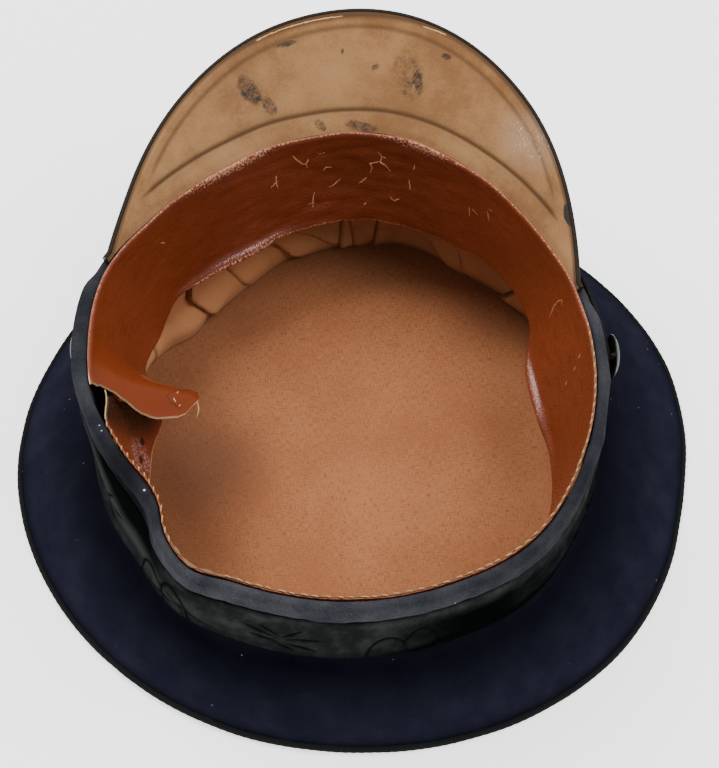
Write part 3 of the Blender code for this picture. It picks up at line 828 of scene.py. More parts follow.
def make_band(cloth):
    """The stiffened band: cloth rolled over its rim and turned under above the braid."""
    angle = closed_ring(900)
    inner, roll = WALL_OUTSET, RIM_ROLL / 2
    turns = np.radians(np.linspace(0.0, 165.0, 15))
    outer_face = np.linspace(RIM_ROLL_DEPTH - 0.0018, roll + 0.0005, 8)
    section = np.array([
        (inner + BAND_WALL, BAND_HEIGHT), (inner + BAND_WALL, RIM_ROLL_DEPTH + 2 * BRAID_EDGE),
        (inner + BAND_WALL + 0.0005, RIM_ROLL_DEPTH + 0.6 * BRAID_EDGE),
        (inner + RIM_ROLL - 0.0004, RIM_ROLL_DEPTH - 0.0001),
        (inner + RIM_ROLL - 0.00005, RIM_ROLL_DEPTH - 0.0009),
        *((inner + RIM_ROLL + 0.0001, drop) for drop in outer_face),
        *zip(inner + roll + roll * np.cos(turns), roll - roll * np.sin(turns)),
        (inner, roll + 0.001), (inner, BAND_HEIGHT),
    ])
    outset, drop = section.T[:, None, :]
    lowered = np.clip(drop, 0.0, BAND_HEIGHT)
    lowered = lowered + seat_depth(angle) * fall(drop, roll, RIM_ROLL_DEPTH)
    outer = ramp(outset, inner + 0.5 * RIM_ROLL, inner + 0.9 * RIM_ROLL)
    felt = 0.00028 * uneven(angle, drop, 0.022, 41) + 0.0001 * uneven(angle, drop, 0.005, 42)
    inside = fall(outset, inner, inner + roll) * fall(drop, 0.004, 0.008)
    outset = outset - rim_stands_in(angle) * inside + felt * outer
    points = head_point(angle, outset, lowered + 0.5 * felt * fall(drop, 0.001, 0.004))
    mesh = grid_mesh(points, tube_flat(angle, section), ring=True, tube=True)
    # Darker patches about -147, 170 and -32 degrees, deepest in the dent at -147 where they are
    # painted shade, and painted shade in the hollow under the pushed-in rim
    dull = np.maximum(0.8 * hump(angle, -147.0, 15.0), 0.42 * hump_round(angle, -190.0, 26.0))
    dull = dull + 0.52 * hump(angle, -32.0, 38.0)
    hollow = 1.2 * hump(angle, -142.0, 13.0) * ramp(drop, 0.0028, 0.005)
    store(mesh, dirt=np.maximum(dull, hollow))
    piece("band_cloth", mesh, cloth, "navy_band_cloth", "band")


def stroke(x, y, start, end, width):
    """1 along a straight stroke that tapers to both its ends, 0 past its width."""
    way = np.subtract(end, start)
    length = math.hypot(*way)
    along = ((x - start[0]) * way[0] + (y - start[1]) * way[1]) / length
    over = ((x - start[0]) * way[1] - (y - start[1]) * way[0]) / length
    taper = 0.25 + 0.75 * np.sin(math.pi * np.clip(along / length, 0.0, 1.0))
    beyond = np.maximum(np.maximum(-along, along - length), 0.0)
    return np.exp(-((over / (width * taper)) ** 2) - (beyond / width) ** 2)


def leaf_relief(along, over):
    """The braid's woven pattern: its height over the ground, and the dark lines round its forms.

    A spray of leaves and a pair of rounded lobes take turns. along is the distance round the
    band, and over runs from 0 at the braid's lower edge to 1.
    """
    y = over * BRAID_WIDTH + 0 * along
    height, groove = 0 * y, 0 * y
    unit = HEAD_ROUND / LEAF_UNITS
    x = (along - distance(LEAF_START) + unit / 4) % unit - unit / 4 + 0 * over
    for start, end, width in LEAF_STROKES:
        groove = np.maximum(groove, stroke(x, y, start, end, width))
        leaf = stroke(x, y, (start[0], start[1] + 0.002), (end[0], end[1] + 0.002), width)
        height = np.maximum(height, 0.5 * leaf)
    for middle, half_width, top in LEAF_LOBES:
        reach = np.hypot((x - unit * 0.46 - middle) / half_width, np.maximum(y, 0.0) / top)
        groove = np.maximum(groove * ramp(reach, 0.7, 0.9), hump(reach, 1.0, 0.1))
        height = np.maximum(height, fall(reach, 0.55, 0.95))
    return height, groove


def make_braid(finish):
    """Black mohair braid: fine ribs, and oak leaves in a running pattern."""
    angle, rows = closed_ring(1200), 40
    share = beside(across(0.0, 1.0, rows), [[1.0, 0.0]])
    face = 1 - beside(np.zeros((1, rows)), [[1.0, 1.0]])
    foot = BAND_HEIGHT - BRAID_EDGE
    drop = foot + (RIM_ROLL_DEPTH + 0.9 * BRAID_EDGE - BAND_HEIGHT + BRAID_EDGE) * share
    along = distance(angle)
    height, groove = leaf_relief(along, share)
    ribs = np.sin(2 * math.pi * along / BRAID_RIB) * (1 - ramp(height, 0.2, 0.5))
    edge = fall(np.abs(share - 0.5), 0.46, 0.5)
    pushed = np.minimum(1.3 * hump_round(angle, -144.0, 17.0), 1.0)
    ridge_drop = read_table(DENT_RIDGE, angle, TURN)
    ridge = hump(drop, ridge_drop, 0.0042)
    relief = 0.0003 * height - 0.0004 * groove + 0.00003 * ribs - 0.0006 * (1 - edge)
    relief = relief + 0.0002 * uneven(angle, drop, 0.03, 51) + 0.0009 * pushed * ridge
    # Each crease is pressed in and darkened with painted shade
    for start, end in BRAID_CREASES:
        crease = stroke(along + 0 * drop, drop + 0 * along, start, end, 0.0009)
        relief = relief - 0.0005 * crease
        groove = np.maximum(groove, 0.8 * crease)
    points = head_point(angle, BRAID_OUTSET + face * (BRAID_THICKNESS + relief), drop)
    section = np.stack(((1 - face[0]) * 0.001, drop[0]), axis=-1)
    mesh = grid_mesh(points, tube_flat(angle, section), ring=True, tube=True)
    # Painted light on the ridge where the band is pushed in; painted shade in the hollow above it,
    # on the lower braid about -18 and -62 degrees, and along its lower edge by the flange; the
    # groove adds the dark leaf outlines
    below = ramp(drop - ridge_drop, -0.001, 0.003)
    hollow = np.minimum(pushed * (1 - ridge) * 1.4, 1.0) * (1 - 0.75 * below)
    aside = 0.8 * (hump(angle, -18.0, 42.0) + hump(angle, -62.0, 16.0)) * ramp(drop, 0.01, 0.0175)
    dirt = np.maximum(np.maximum(groove, hollow), aside + 0.5 * ramp(drop, 0.026, 0.033))
    store(mesh, dirt=dirt * face, pale=pushed * ridge * face)
    piece("braid", mesh, finish, "black_braid", "braid_band")


def leather_point(angle, share, wavy=1.0):
    """A point on the leather's outer face, which has long waves and a few soft creases."""
    reach = share * SWEATBAND_WIDTH
    front = hump(angle, 95.0, 34.0) * ramp(share, 0.04, 0.15)
    waves = 0.0005 * uneven(angle, reach, 0.03, 61) * ramp(share, 0.1, 0.5)
    waves = waves + 0.00016 * uneven(angle, 3.0 * reach, 0.014, 62) * front
    waves = waves + 0.000025 * uneven(angle, 1.8 * reach, 0.0045, 65)
    lean = np.radians(read_table(SWEATBAND_LEAN, angle))
    curl = read_table(LIP_CURL, angle) * SWEATBAND_WIDTH * ramp(share, 0.84, 1.06) ** 2
    inwards = SWEATBAND_WIDTH * np.sin(lean) * share ** SWEATBAND_CURVE + wavy * waves + curl
    pull = HIDDEN_END_PULL * fall(angle, -167.0, -158.0) + rim_stands_in(angle)
    inwards = inwards + pull * (1 - share)
    drop = SWEATBAND_WIDTH * np.cos(lean) * share - 0.5 * curl
    return head_point(angle, LEATHER - inwards, SWEATBAND_DROP + drop)


def askew(angle, share):
    """The angle of a point once the strip's ends are cut askew."""
    near_start = np.clip(1 - (angle - SWEATBAND_FIRST) / SWEATBAND_SKEW, 0.0, 1.0)
    near_end = np.clip(1 - (SWEATBAND_LAST - angle) / SWEATBAND_SKEW, 0.0, 1.0)
    start = (read_table(HIDDEN_END, share) - HIDDEN_END[0][1]) * near_start
    end = (read_table(LOOSE_END, share) - LOOSE_END[0][1]) * near_end
    return angle + start + end


def make_sweatband(leather, raw_edge):
    """The leather strip: rounded and rubbed along its top, with one loose end freshly cut."""
    share = beside([[0.0, 0.003, 0.008, 0.016, 0.026, 0.04]], across(0.06, 0.95, 34),
                   [[0.965, 0.98, 0.99, 0.996, 1.0]])
    reach = share * SWEATBAND_WIDTH
    base = steps(SWEATBAND_FIRST - HIDDEN_END_REACH, SWEATBAND_LAST, 1000)
    ragged = 0.16 * uneven(0.0, reach, 0.0022, 66) * ramp(base, 189.0, 190.0)
    angle = askew(base, share) + ragged
    lower_edge = 0.0003 * uneven(angle, 0.0, 0.012, 63) * ramp(share, 0.9, 1.0)
    lip = fall(share, 0.0, 0.06)
    at_peak = fall(np.abs(angle - PEAK_MIDDLE), PEAK_HALF_SPAN - 4.0, PEAK_HALF_SPAN + 8.0)
    lifted = lower_edge + 0.0002 * uneven(angle, 0.0, 0.02, 64) * lip + 0.00045 * lip * at_peak
    mesh = grid_mesh(leather_point(angle, share) + up(lifted), flat_grid(distance(angle), reach))
    rub = read_table(RUBBED_EDGE, angle)
    worn = np.maximum(rub * fall(share, 0.0, 0.02 + 0.21 * rub * rub),
                      0.9 * ramp(rub, 0.1, 0.3) * fall(share, 0.004, 0.012))
    # Along the lower edge at the front and on the hidden end, rubbed also carries a painted
    # highlight
    foot = 0.92 * fall(np.abs(angle - 95.0), 40.0, 60.0) + 1.05 * fall(base, -153.0, -147.0)
    # Painted shadow of the loose end over the hidden end; the loose end itself is a little darker
    shadow_under_flap = 0.96 * fall(base, -162.0, -154.0) * fall(share, 0.8, 1.05)
    right_lip = share - 0.0003 * (angle - 12.0) ** 2
    store(mesh, raw=ramp(base, 186.0, 189.0) + 0 * share,
          rubbed=np.maximum(worn, ramp(share, 0.966, 0.982) * foot),
          dirt=np.maximum(shadow_under_flap, 0.26 * ramp(base, 172.0, 184.0) + 0 * share),
          smooth=ramp(base, 168.0, 182.0) + 0 * share,
          glint=hump(angle, 118.5, 17.0) * hump(share, 0.95, 0.036)
          + 1.25 * hump(angle, 11.0, 14.0) * hump(right_lip, 0.935, 0.045))
    made = piece("sweatband_leather", mesh, (leather, raw_edge), "red_brown_leather", "sweatband")
    near_top = np.clip(reach / 0.0016, 0.0, 1.0)
    near_bottom = np.clip((SWEATBAND_WIDTH - reach) / 0.001, 0.0, 1.0)
    body = np.minimum(0.25 + 0.75 * np.sqrt(1 - (1 - near_top) ** 2),
                      0.45 + 0.55 * np.sqrt(1 - (1 - near_bottom) ** 2))
    cut = ramp(base, 185.0, 188.0)
    body = body * (1 - cut) + cut * (0.32 + 0.5 * near_top)
    thicken(made, LEATHER, 1, edge_material=1, share=body)


def leather_face(angle, share, lift):
    """A point at some lift over the leather's visible face."""
    here = leather_point(angle, share)
    along = leather_point(angle + 0.2, share) - here
    normal = np.cross(along, leather_point(angle, share + 0.005) - here)
    normal /= np.linalg.norm(normal, axis=-1, keepdims=True)
    return here + normal * (LEATHER + lift)


def make_cracks(name, lines, width, finish):
    """Jagged flakes along short lines on the leather, where its finish has broken."""
    random = np.random.default_rng(111)
    scale = np.array((math.radians(HEAD_HALF_LENGTH), SWEATBAND_WIDTH))
    shape = bmesh.new()
    for line in lines:
        corners = np.array(line, float) * scale
        path = [corners[:1]]
        for start, end in zip(corners, corners[1:]):
            count = max(2, round(np.linalg.norm(end - start) / 0.00035))
            share = np.linspace(0.0, 1.0, count + 1)[1:, None]
            path.append(start + (end - start) * share + random.normal(0.0, 0.00009, (count, 2)))
        path = np.concatenate(path)
        ahead = np.gradient(path, axis=0)
        aside = np.stack((-ahead[:, 1], ahead[:, 0]), axis=-1)
        aside /= np.linalg.norm(aside, axis=-1, keepdims=True)
        taper = np.sin(math.pi * np.linspace(0.12, 0.88, len(path)))
        rows = []
        for side, lift in ((-1.0, 0.00001), (0.0, 0.0001), (1.0, 0.00001)):
            reach = side * width * taper * random.uniform(0.35, 1.25, len(path))
            place = (path + aside * reach[:, None]) / scale
            rows.append([shape.verts.new(point) for point in leather_face(*place.T, lift)])
        join(shape, rows, ring=False)
    piece(name, smooth_mesh(shape), finish, "red_brown_leather")


def make_floor_lining(cotton):
    """The cotton disc inside the crown, lying a little loose on the cloth below it."""
    share = across(0.0, 1.0, 44)
    margin = 2 * PIPING_RADIUS + CROWN_LINING_MARGIN
    points = crown_point(closed_ring(240), margin, 0.0) * share[..., None]
    x, y = points[..., 0], points[..., 1]
    drawn = 0.0004 * np.sin(70 * x + 40 * y) + 0.0003 * np.sin(110 * y - 60 * x + 1.0)
    points[..., 2] = CROWN_CLOTH + GAP + COTTON + (0.0005 + drawn) * fall(share, 0.6, 0.9)
    flat = np.concatenate((points, points[:1]))[..., :2]
    made = piece("floor_lining", grid_mesh(points, flat, ring=True, flip=True), cotton,
                 "brown_cotton", "crown_lining")
    weld(made)
    thicken(made, COTTON, -1)


def tucks(angle, share):
    """How far the gathered cloth stands in from its smooth line, and a mask of painted shade along
    each fold's sharp edge, stronger for deeper folds.
    """
    total, line = 0.0, 0.0
    for middle, half_width, depth, sweep in TUCKS:
        away = angle - middle - sweep * np.clip((share - 0.45) / 0.5, 0.0, 1.1) ** 1.6
        rise = ramp(away, -2.2 * half_width, 0.0) ** 1.5 * fall(away, -0.1, 0.7)
        total = total + 1.3 * depth * rise
        line = np.maximum(line, hump(away, 0.4, 0.4) * min(0.9, depth / 0.002))
    return total, line


def make_side_lining(cotton):
    """The gathered cotton between the band and the crown lining, folded into tucks."""
    angle, share = closed_ring(900), across(0.0, 1.0, 46)
    outset = WALL_OUTSET - GAP
    top = head_point(angle, outset, BAND_HEIGHT - SIDE_LINING_LAP)
    neck = head_point(angle, outset, BAND_HEIGHT + SIDE_NECK)
    floor = CROWN_CLOTH + 2 * GAP + COTTON
    edge = crown_point(angle, 2 * PIPING_RADIUS, neck[..., 2])
    overhang = np.linalg.norm(edge - neck, axis=-1)
    foot = neck + (edge - neck) * read_table(LINING_FOOT, angle, TURN)[..., None]
    foot[..., 2] = floor
    height = neck[..., 2] - floor
    fold, line = tucks(angle, share)
    fold = fold * ramp(share, 0.0, 0.25) * (1 - 0.5 * ramp(share, 0.8, 1.0))
    rumple = 0.0008 * uneven(angle, 0.5 * share * height, 0.02, 71) * ramp(share, 0.1, 0.4)
    rumple = rumple + 0.0001 * uneven(angle, share * height, 0.006, 72) * ramp(share, 0.1, 0.4)
    bulge = 0.0022 * hump(share, 0.84, 0.12) * (1 + 0.5 * uneven(angle, 0.0, 0.03, 73))
    inwards = fold + bulge - overhang * read_table(LINING_BAG, share)
    inwards = inwards - rumple * fall(share, 0.8, 1.0)
    points = neck + (foot - neck) * share[..., None] - outwards(angle) * inwards[..., None]
    reach = beside(np.zeros((1, 1)), SIDE_LINING_LAP + share * height.mean())
    mesh = grid_mesh(beside(top, points), ring_flat(angle, reach), ring=True)
    # Painted shade along the folds' sharp edges and at the foot, and painted shadow under the
    # leather's lip and beside its hidden end
    fold_and_foot_shade = np.maximum(line, 0.6 * ramp(share, 0.93, 1.0))
    shadow_beside_end = 0.9 * hump(angle, -175.0, 12.0) * fall(share, 0.5, 0.9)
    shadow_under_leather = 0.45 * fall(share, 0.05, 0.4) + shadow_beside_end
    store(mesh, dirt=beside(0 * angle, np.maximum(fold_and_foot_shade, shadow_under_leather)))
    made = piece("side_lining_cloth", mesh, cotton, "tan_cotton", "side_lining")
    thicken(made, COTTON, 1)


def peak_reach(angle):
    turn = np.radians(90.0 * (angle - PEAK_MIDDLE) / PEAK_HALF_SPAN)
    return PEAK_LENGTH * np.maximum(np.cos(turn), 0.0) ** PEAK_TAPER


def peak_point(angle, out, depth, share):
    """A point out along the peak's slope and below its tan face."""
    slope = math.radians(PEAK_SLOPE)
    root = head_point(angle, WALL_OUTSET, 0.0)
    way = outwards(angle)
    along = way * math.cos(slope) + up(np.full(np.shape(angle), math.sin(slope)))
    normal = up(np.full(np.shape(angle), math.cos(slope))) - way * math.sin(slope)
    out, depth, share = alike(out, depth, share)
    slide = depth * math.tan(slope) * (1 - share)
    return root + along * (out - slide)[..., None] - normal * depth[..., None]


def peak_angles(count):
    half = PEAK_HALF_SPAN * PEAK_END_SHARE
    return steps(PEAK_MIDDLE - half, PEAK_MIDDLE + half, count)


def make_peak_underside(leather):
    """The peak's tan face: a ridge and a pressed line inside its edge, a groove near its root."""
    angle, share = peak_angles(300), across(0.0, 1.0, 88)
    reach = np.maximum(peak_reach(angle), 2 * PEAK_EDGE) - PEAK_RIM
    out = reach * share - 0.00025 * (1 - share) ** 20
    inset = reach - out + PEAK_RIM
    live = ramp(reach, 0.0135, 0.02)
    between = ramp(inset, 0.0056, 0.0098)
    seam = INNER_GROOVE * (1 - 0.12 * ((angle - PEAK_MIDDLE) / PEAK_HALF_SPAN) ** 2)
    groove = hump(out, seam, 0.0008) * between
    line = hump(inset, EDGE_LINE, 0.001) * live
    ridge = hump(inset, 0.47 * EDGE_LINE, 0.0013) * (0.25 + 0.75 * live) * ramp(reach, 0.004, 0.01)
    panel = ramp(inset, EDGE_LINE - 0.001, EDGE_LINE + 0.002) * ramp(out, seam, seam + 0.004)
    depth = 0.00036 * groove + 0.00028 * line - 0.00022 * ridge + 0.00016 * panel * between * live
    depth = depth + 0.00014 * uneven(angle, out, 0.02, 81) + 0.0003 * fall(inset, PEAK_RIM, 0.0022)
    points = peak_point(angle, out, depth * ramp(out, 0.0, 0.002), share)
    mesh = grid_mesh(points, flat_grid(distance(angle), inset), flip=True)
    near_root = 0.3 * fall(out, 0.0, 0.004) + 0.25 * hump(out, 1.12 * seam, 0.0024) * between
    wide = 0.001 + 0.0014 * hump(angle, 97.0, 16.0) + 0.0006 * hump(angle, 62.0, 18.0)
    near_edge = (0.8 + 260.0 * wide) * fall(inset, PEAK_RIM + 0.4 * wide, PEAK_RIM + 1.5 * wide)
    # Painted shade in the groove and along the pressed line, darker near the root and just past
    # the groove, and the brown turned edge
    store(mesh, dirt=groove + 0.74 * line + near_root + near_edge)
    made = piece("peak_underside", mesh, leather, "tan_peak_lining", "peak_lining")
    thicken(made, PEAK_LINING, -1)


def make_peak_patent(patent, edge):
    """The peak's patent face, rolled up round its edge to meet the tan face."""
    count = 320
    angle = peak_angles(count)
    reach = np.maximum(peak_reach(angle), 2 * PEAK_EDGE)
    top = PEAK_LINING + GAP
    half = (top + PEAK_BOARD) / 2
    turns = np.radians(across(-68.0, 90.0, 13))
    wall = reach - PEAK_RIM + 0.0001
    inside = across(0.0, 1.0, 8) * wall
    outer = across(1.0, 0.0, 20)[:, 1:] * (reach - half)
    out = beside(inside, wall, reach - half + half * np.cos(turns), outer)
    depth = beside(0 * inside + top, 0 * wall + 0.0003, 0 * wall + (half + half * np.sin(turns)),
                   0 * outer + 2 * half)
    points = peak_point(angle, out, depth, np.clip(out / reach, 0.0, 1.0))
    mesh = grid_mesh(points, flat_grid(distance(angle), beside(out, out[:, :1])), tube=True)
    turned_edge = np.zeros((count - 1, out.shape[1]), int)
    turned_edge[:, 7:17] = 1
    mesh.polygons.foreach_set("material_index", turned_edge.ravel())
    close_ends(mesh, out.shape[1])
    piece("peak_patent", mesh, (patent, edge), "black_patent", "peak_top")


def make_chin_strap(leather):
    """The strap round the front of the band, with rounded edges and a creased line along each."""
    first, last = SIDE_BUTTONS[0][1] - STRAP_TAB, SIDE_BUTTONS[1][1] + STRAP_TAB
    angle, turn = steps(first, last, 320), round_tube(36)
    wide, thick = (np.sign(way) * np.abs(way) ** 0.22 for way in (np.cos(turn), np.sin(turn)))
    end = np.minimum(angle - first, last - angle) * math.radians(HEAD_HALF_LENGTH)
    round_end = np.sqrt(np.clip(1 - (1 - np.clip(end / (0.5 * STRAP_WIDTH), 0, 1)) ** 2, 0.02, 1))
    line = hump(np.abs(wide), 0.76, 0.05) * ramp(thick, 0.3, 0.8)
    over = wide * STRAP_WIDTH / 2 * round_end
    rise = STRAP_THICKNESS / 2 * (1 + thick) - 0.0002 * line
    rise = rise + 0.0001 * uneven(angle, over, 0.02, 91)
    points = head_point(angle, STRAP_OUTSET + rise, strap_drop(angle) + STRAP_WIDTH / 2 - over)
    mesh = grid_mesh(points, flat_grid(distance(angle), beside(over, over[:, :1])), tube=True)
    close_ends(mesh, 36)
    piece("chin_strap_leather", mesh, leather, "dark_strap_leather", "chin_strap")


def turned_mesh(profile, count=64):
    """A closed turned body from a profile of (reach, height) that starts and ends on the axis."""
    shape = bmesh.new()
    turns = [2 * math.pi * step / count for step in range(count)]
    join(shape, [
        [shape.verts.new((reach * math.cos(turn), reach * math.sin(turn), height))
         for turn in (turns if reach else turns[:1])]
        for reach, height in profile])
    bmesh.ops.recalc_face_normals(shape, faces=shape.faces)
    mesh = smooth_mesh(shape)
    mesh.set_sharp_from_angle(angle=math.radians(BODY_SHARP))
    return mesh


def button_profile(shank):
    """Outer dome, rolled rim, hollow back and shank, from the crest to the shank's foot."""
    rim = shank + BUTTON_SHELL / 2
    bead = 0.4 * BUTTON_SHELL
    waist = 0.55 * SHANK_RADIUS
    profile = [(0.0, rim + BUTTON_DOME)]
    for first, last, step, middle, reach, base, rise in (
            (6, 84, 6, 0.0, 0.93 * BUTTON_RADIUS, rim, BUTTON_DOME),
            (30, 211, 20, BUTTON_RADIUS - bead, bead, rim, bead),
            (75, 0, -15, 0.0, BUTTON_RADIUS - 1.6 * BUTTON_SHELL, rim - BUTTON_SHELL / 4,
             BUTTON_DOME - BUTTON_SHELL)):
        bends = np.radians(np.arange(first, last, step))
        profile += zip(middle + reach * np.sin(bends), base + rise * np.cos(bends))
    return profile + [(waist, rim + 0.3 * BUTTON_DOME), (waist, shank / 2),
                      (SHANK_RADIUS, 0.0), (0.0, 0.0)]


def make_button(metal, name, angle, shank, tip):
    seat = STRAP_OUTSET + STRAP_THICKNESS + GAP + SHANK_RADIUS * math.sin(math.radians(tip))
    middle = Vector(head_point(angle, seat, strap_drop(angle) + STRAP_WIDTH / 2))
    wall = math.atan(read_table(WALL_LEAN, angle, TURN))
    out, side = Vector(outwards(angle)), Vector(outwards(angle + 90.0))
    face = Matrix.Rotation(wall + math.radians(tip), 3, side) @ out
    turn = face.to_track_quat("Z", "Y").to_matrix().to_4x4()
    piece(name + "_shell", turned_mesh(button_profile(shank)), metal, "button_metal", name,
          place=Matrix.Translation(middle) @ turn)


def threads(shape, paths, sides=6):
    """Adds round threads to a shape, each along its own smooth path."""
    turns = [2 * math.pi * side / sides for side in range(sides)]
    for path in paths:
        path = [Vector(point) for point in path]
        last = len(path) - 1
        rings = []
        for index, point in enumerate(path):
            ahead = path[min(index + 1, last)] - path[max(index - 1, 0)]
            way = ahead.normalized().to_track_quat("Z", "Y").to_matrix()
            radius = THREAD_RADIUS * (0.45 if index in (0, last) else 1.0)
            round_point = (Vector((radius * math.cos(turn), radius * math.sin(turn), 0.0))
                           for turn in turns)
            rings.append([shape.verts.new(point + way @ offset) for offset in round_point])
        join(shape, rings)
        shape.faces.new(rings[0][::-1])
        shape.faces.new(rings[-1])


def stitches(seed, first, last, pitch, spread, length, outset, slant, drop, swell):
    """A row of stitches along the rim, each a small swelling.

    Their spread, length and outset are ranges that each stitch draws from.
    """
    random = np.random.default_rng(seed)
    share = np.linspace(0.0, 1.0, 7)
    swelling = swell * np.sin(math.pi * np.clip(share * 0.9 + 0.05, 0, 1))
    paths, angle = [], first
    while angle < last:
        turn = angle + random.uniform(*length) * share
        paths.append(head_point(turn, random.uniform(*outset) + slant * share, drop - swelling))
        angle += pitch * random.uniform(*spread)
    return paths


def make_rim_stitches(finish):
    """Overcast stitches up to the tape, long ones over the tape, and two pulled threads."""
    overcast = stitches(
        101, STITCH_FIRST, TAPE_FIRST + 2.0, STITCH_PITCH, (0.85, 1.15), (1.0, 1.5),
        (0.0002, 0.0005), slant=0.0009, drop=0.0007, swell=0.0009)
    long = stitches(
        107, TAPE_FIRST + 16.0, TAPE_LAST, TAPE_PITCH, (0.8, 1.25), (1.1, 1.7),
        (0.0004, 0.0007), slant=0.0003, drop=0.0005, swell=0.00055)
    angle = np.linspace(*PULLED_THREAD, 24)
    pulled = leather_point(angle, 0.0, wavy=0.0) + up(0.0004 + 0.0003 * np.sin(3.0 * angle))
    shape = bmesh.new()
    threads(shape, overcast + [pulled, HANGING_THREAD] + long)
    piece("rim_stitches", smooth_mesh(shape), finish, "tan_cotton")


def make_rim_tape(finish):
    """The raw edge of the cotton tape that shows between the leather and the rim's cloth."""
    angle, turn = steps(TAPE_FIRST, TAPE_LAST, 900), round_tube(8)
    width = 0.00012 + 0.00008 * np.clip(uneven(angle, 0.0, 0.0035, 103), -1.0, 1.5)
    width = width + 0.00026 * hump(angle, -119.0, 8.0) * (1 + 0.5 * uneven(angle, 0.0, 0.002, 105))
    fade = ramp(angle, TAPE_FIRST, TAPE_FIRST + 3.0) * fall(angle, TAPE_LAST - 3.0, TAPE_LAST)
    radius = np.maximum(width, 0.00006) * (0.3 + 0.7 * fade)
    wander = 0.0001 * uneven(angle, 0.0, 0.007, 104)
    points = head_point(angle, 0.0006 + wander + 1.5 * radius * np.cos(turn),
                        0.00025 - radius * np.sin(turn))
    mesh = grid_mesh(points, flat_grid(distance(angle), across(0.0, 0.002, 9)), tube=True)
    close_ends(mesh, 8)
    piece("rim_tape", mesh, finish, "tan_cotton")


def braid_finish():
    """Mohair braid: dark greenish ribs, darker where the leaves' outlines sink in."""
    made = Finish("black mohair braid", (0.01, 0.012, 0.011), Roughness=0.75,
                  Specular_IOR_Level=0.0)
    ribs = made.node("ShaderNodeTexWave", "Fac", {
        "Vector": made.flat(), "Scale": 380.0, "Distortion": 1.5,
    }, wave_type="BANDS", bands_direction="X")
    wear = made.noise(130.0, 4.0, 0.6)
    made.ground(made.span(wear, 0.35, 0.75), (0.0104, 0.0122, 0.0115), (0.029, 0.0328, 0.0312))
    # Painted light on the braid's ridge where the band is pushed in
    made.paint(made.read("pale") * 0.75, (0.037, 0.0395, 0.039))
    # Dark leaf outlines, and painted shade in the creases, the dent's hollow, about -18 and -62
    # degrees and along the lower edge
    made.paint(made.read("dirt") * 0.95, (0.0015, 0.002, 0.002))
    return made.done(Normal=made.bump(ribs, 0.00015, 0.5, made.bump(wear, 0.0003, 0.4)))


def sweatband_finish():
    """Smooth glossy red-brown leather, darker at the front and rubbed pale along its top edge."""
    made = Finish("red-brown leather", (0.16, 0.035, 0.01), Roughness=0.33,
                  Specular_IOR_Level=0.3)
    grain, flecks, crumbs, pores = (made.noise(*row, where=made.flat()) for row in (
        (1250.0, 3.0, 0.6), (700.0, 4.0, 0.75), (1150.0, 4.0, 0.8), (1500.0, 2.0, 0.7)))
    front = made.span(made.part(made.place(), "Y"), 0.0, 0.075)
    right = made.span(made.part(made.place(), "X"), 0.0, 0.055)
    tone = front * 0.55 + made.noise(26.0, 4.0, 0.6) * 0.5 - right * front * 0.5
    made.ground(made.span(tone, 0.15, 0.95), (0.18, 0.035, 0.011), (0.118, 0.0185, 0.004))
    made.paint(made.span(flecks, 0.55, 0.75, 0.0, 0.18), (0.26, 0.06, 0.018))
    streaks = made.noise(1.0, 4.0, 0.65, 0.4, made.flat((110.0, 520.0, 110.0)))
    made.paint(made.span(streaks, 0.5, 0.75, 0.0, 0.25), (0.27, 0.062, 0.018))
    made.paint(made.span(streaks, 0.46, 0.34, 0.0, 0.35), (0.075, 0.012, 0.004))
    rubbed, glint, smooth = made.read("rubbed"), made.read("glint"), made.read("smooth")
    # Pale rubbed finish along the top edge; along the lower edge at the front and on the hidden
    # end the same colour is a painted highlight
    made.paint(made.span(rubbed + crumbs * 2.2, 1.98, 2.1), (0.52, 0.235, 0.135))
    made.paint(made.span(glint + pores * 2.2, 1.8, 2.25, 0.0, 0.8), (0.56, 0.33, 0.29))
    # Painted shadow on the hidden end under the loose end, and the loose end a little darker
    made.paint(made.read("dirt"), (0.012, 0.004, 0.002))
    # A crackled patch on the hidden end, painted pale as a highlight
    patch = made.spot((-0.0745, -0.0345, 0.045), (0.0075, 0.01, 0.012), 25.0)
    shards = made.cells(900.0, "DISTANCE_TO_EDGE", made.flat((1.0, 0.6, 1.0)))
    crackle_highlight = made.span(patch, 0.1, 0.4) * made.span(shards, 0.05, 0.25)
    made.paint(crackle_highlight * 0.8, (0.36, 0.21, 0.2))
    for middle in HOLES:
        made.paint(made.span(made.spot(middle, 0.0018), 0.0, 0.35), (0.004, 0.002, 0.001))
    made.paint(smooth * 0.7, (0.156, 0.0275, 0.0065))
    gloss = made.span(flecks, 0.3, 0.7, 0.19, 0.3) + rubbed * 0.4 + front * 0.12
    gloss = gloss + made.span(crumbs, 0.4, 0.58, -0.07, 0.07) + glint * 0.2 - smooth * 0.09
    normal = made.bump(grain, 0.00045, made.span(smooth, 0.0, 1.0, 0.75, 0.1))
    return made.done(Roughness=gloss, Normal=normal)


def raw_edge_finish():
    """The leather's cut edge: cream where it is fresh and brown where it is handled."""
    made = Finish("cut leather edge", (0.5, 0.34, 0.2), Roughness=0.8)
    fibre = made.noise(1200.0)
    cream = made.ground(fibre, (0.6, 0.36, 0.17), (0.9, 0.62, 0.36))
    made.ground(made.read("raw"), (0.3, 0.09, 0.042), cream)
    return made.done(Normal=made.bump(fibre, 0.0002, 0.6))


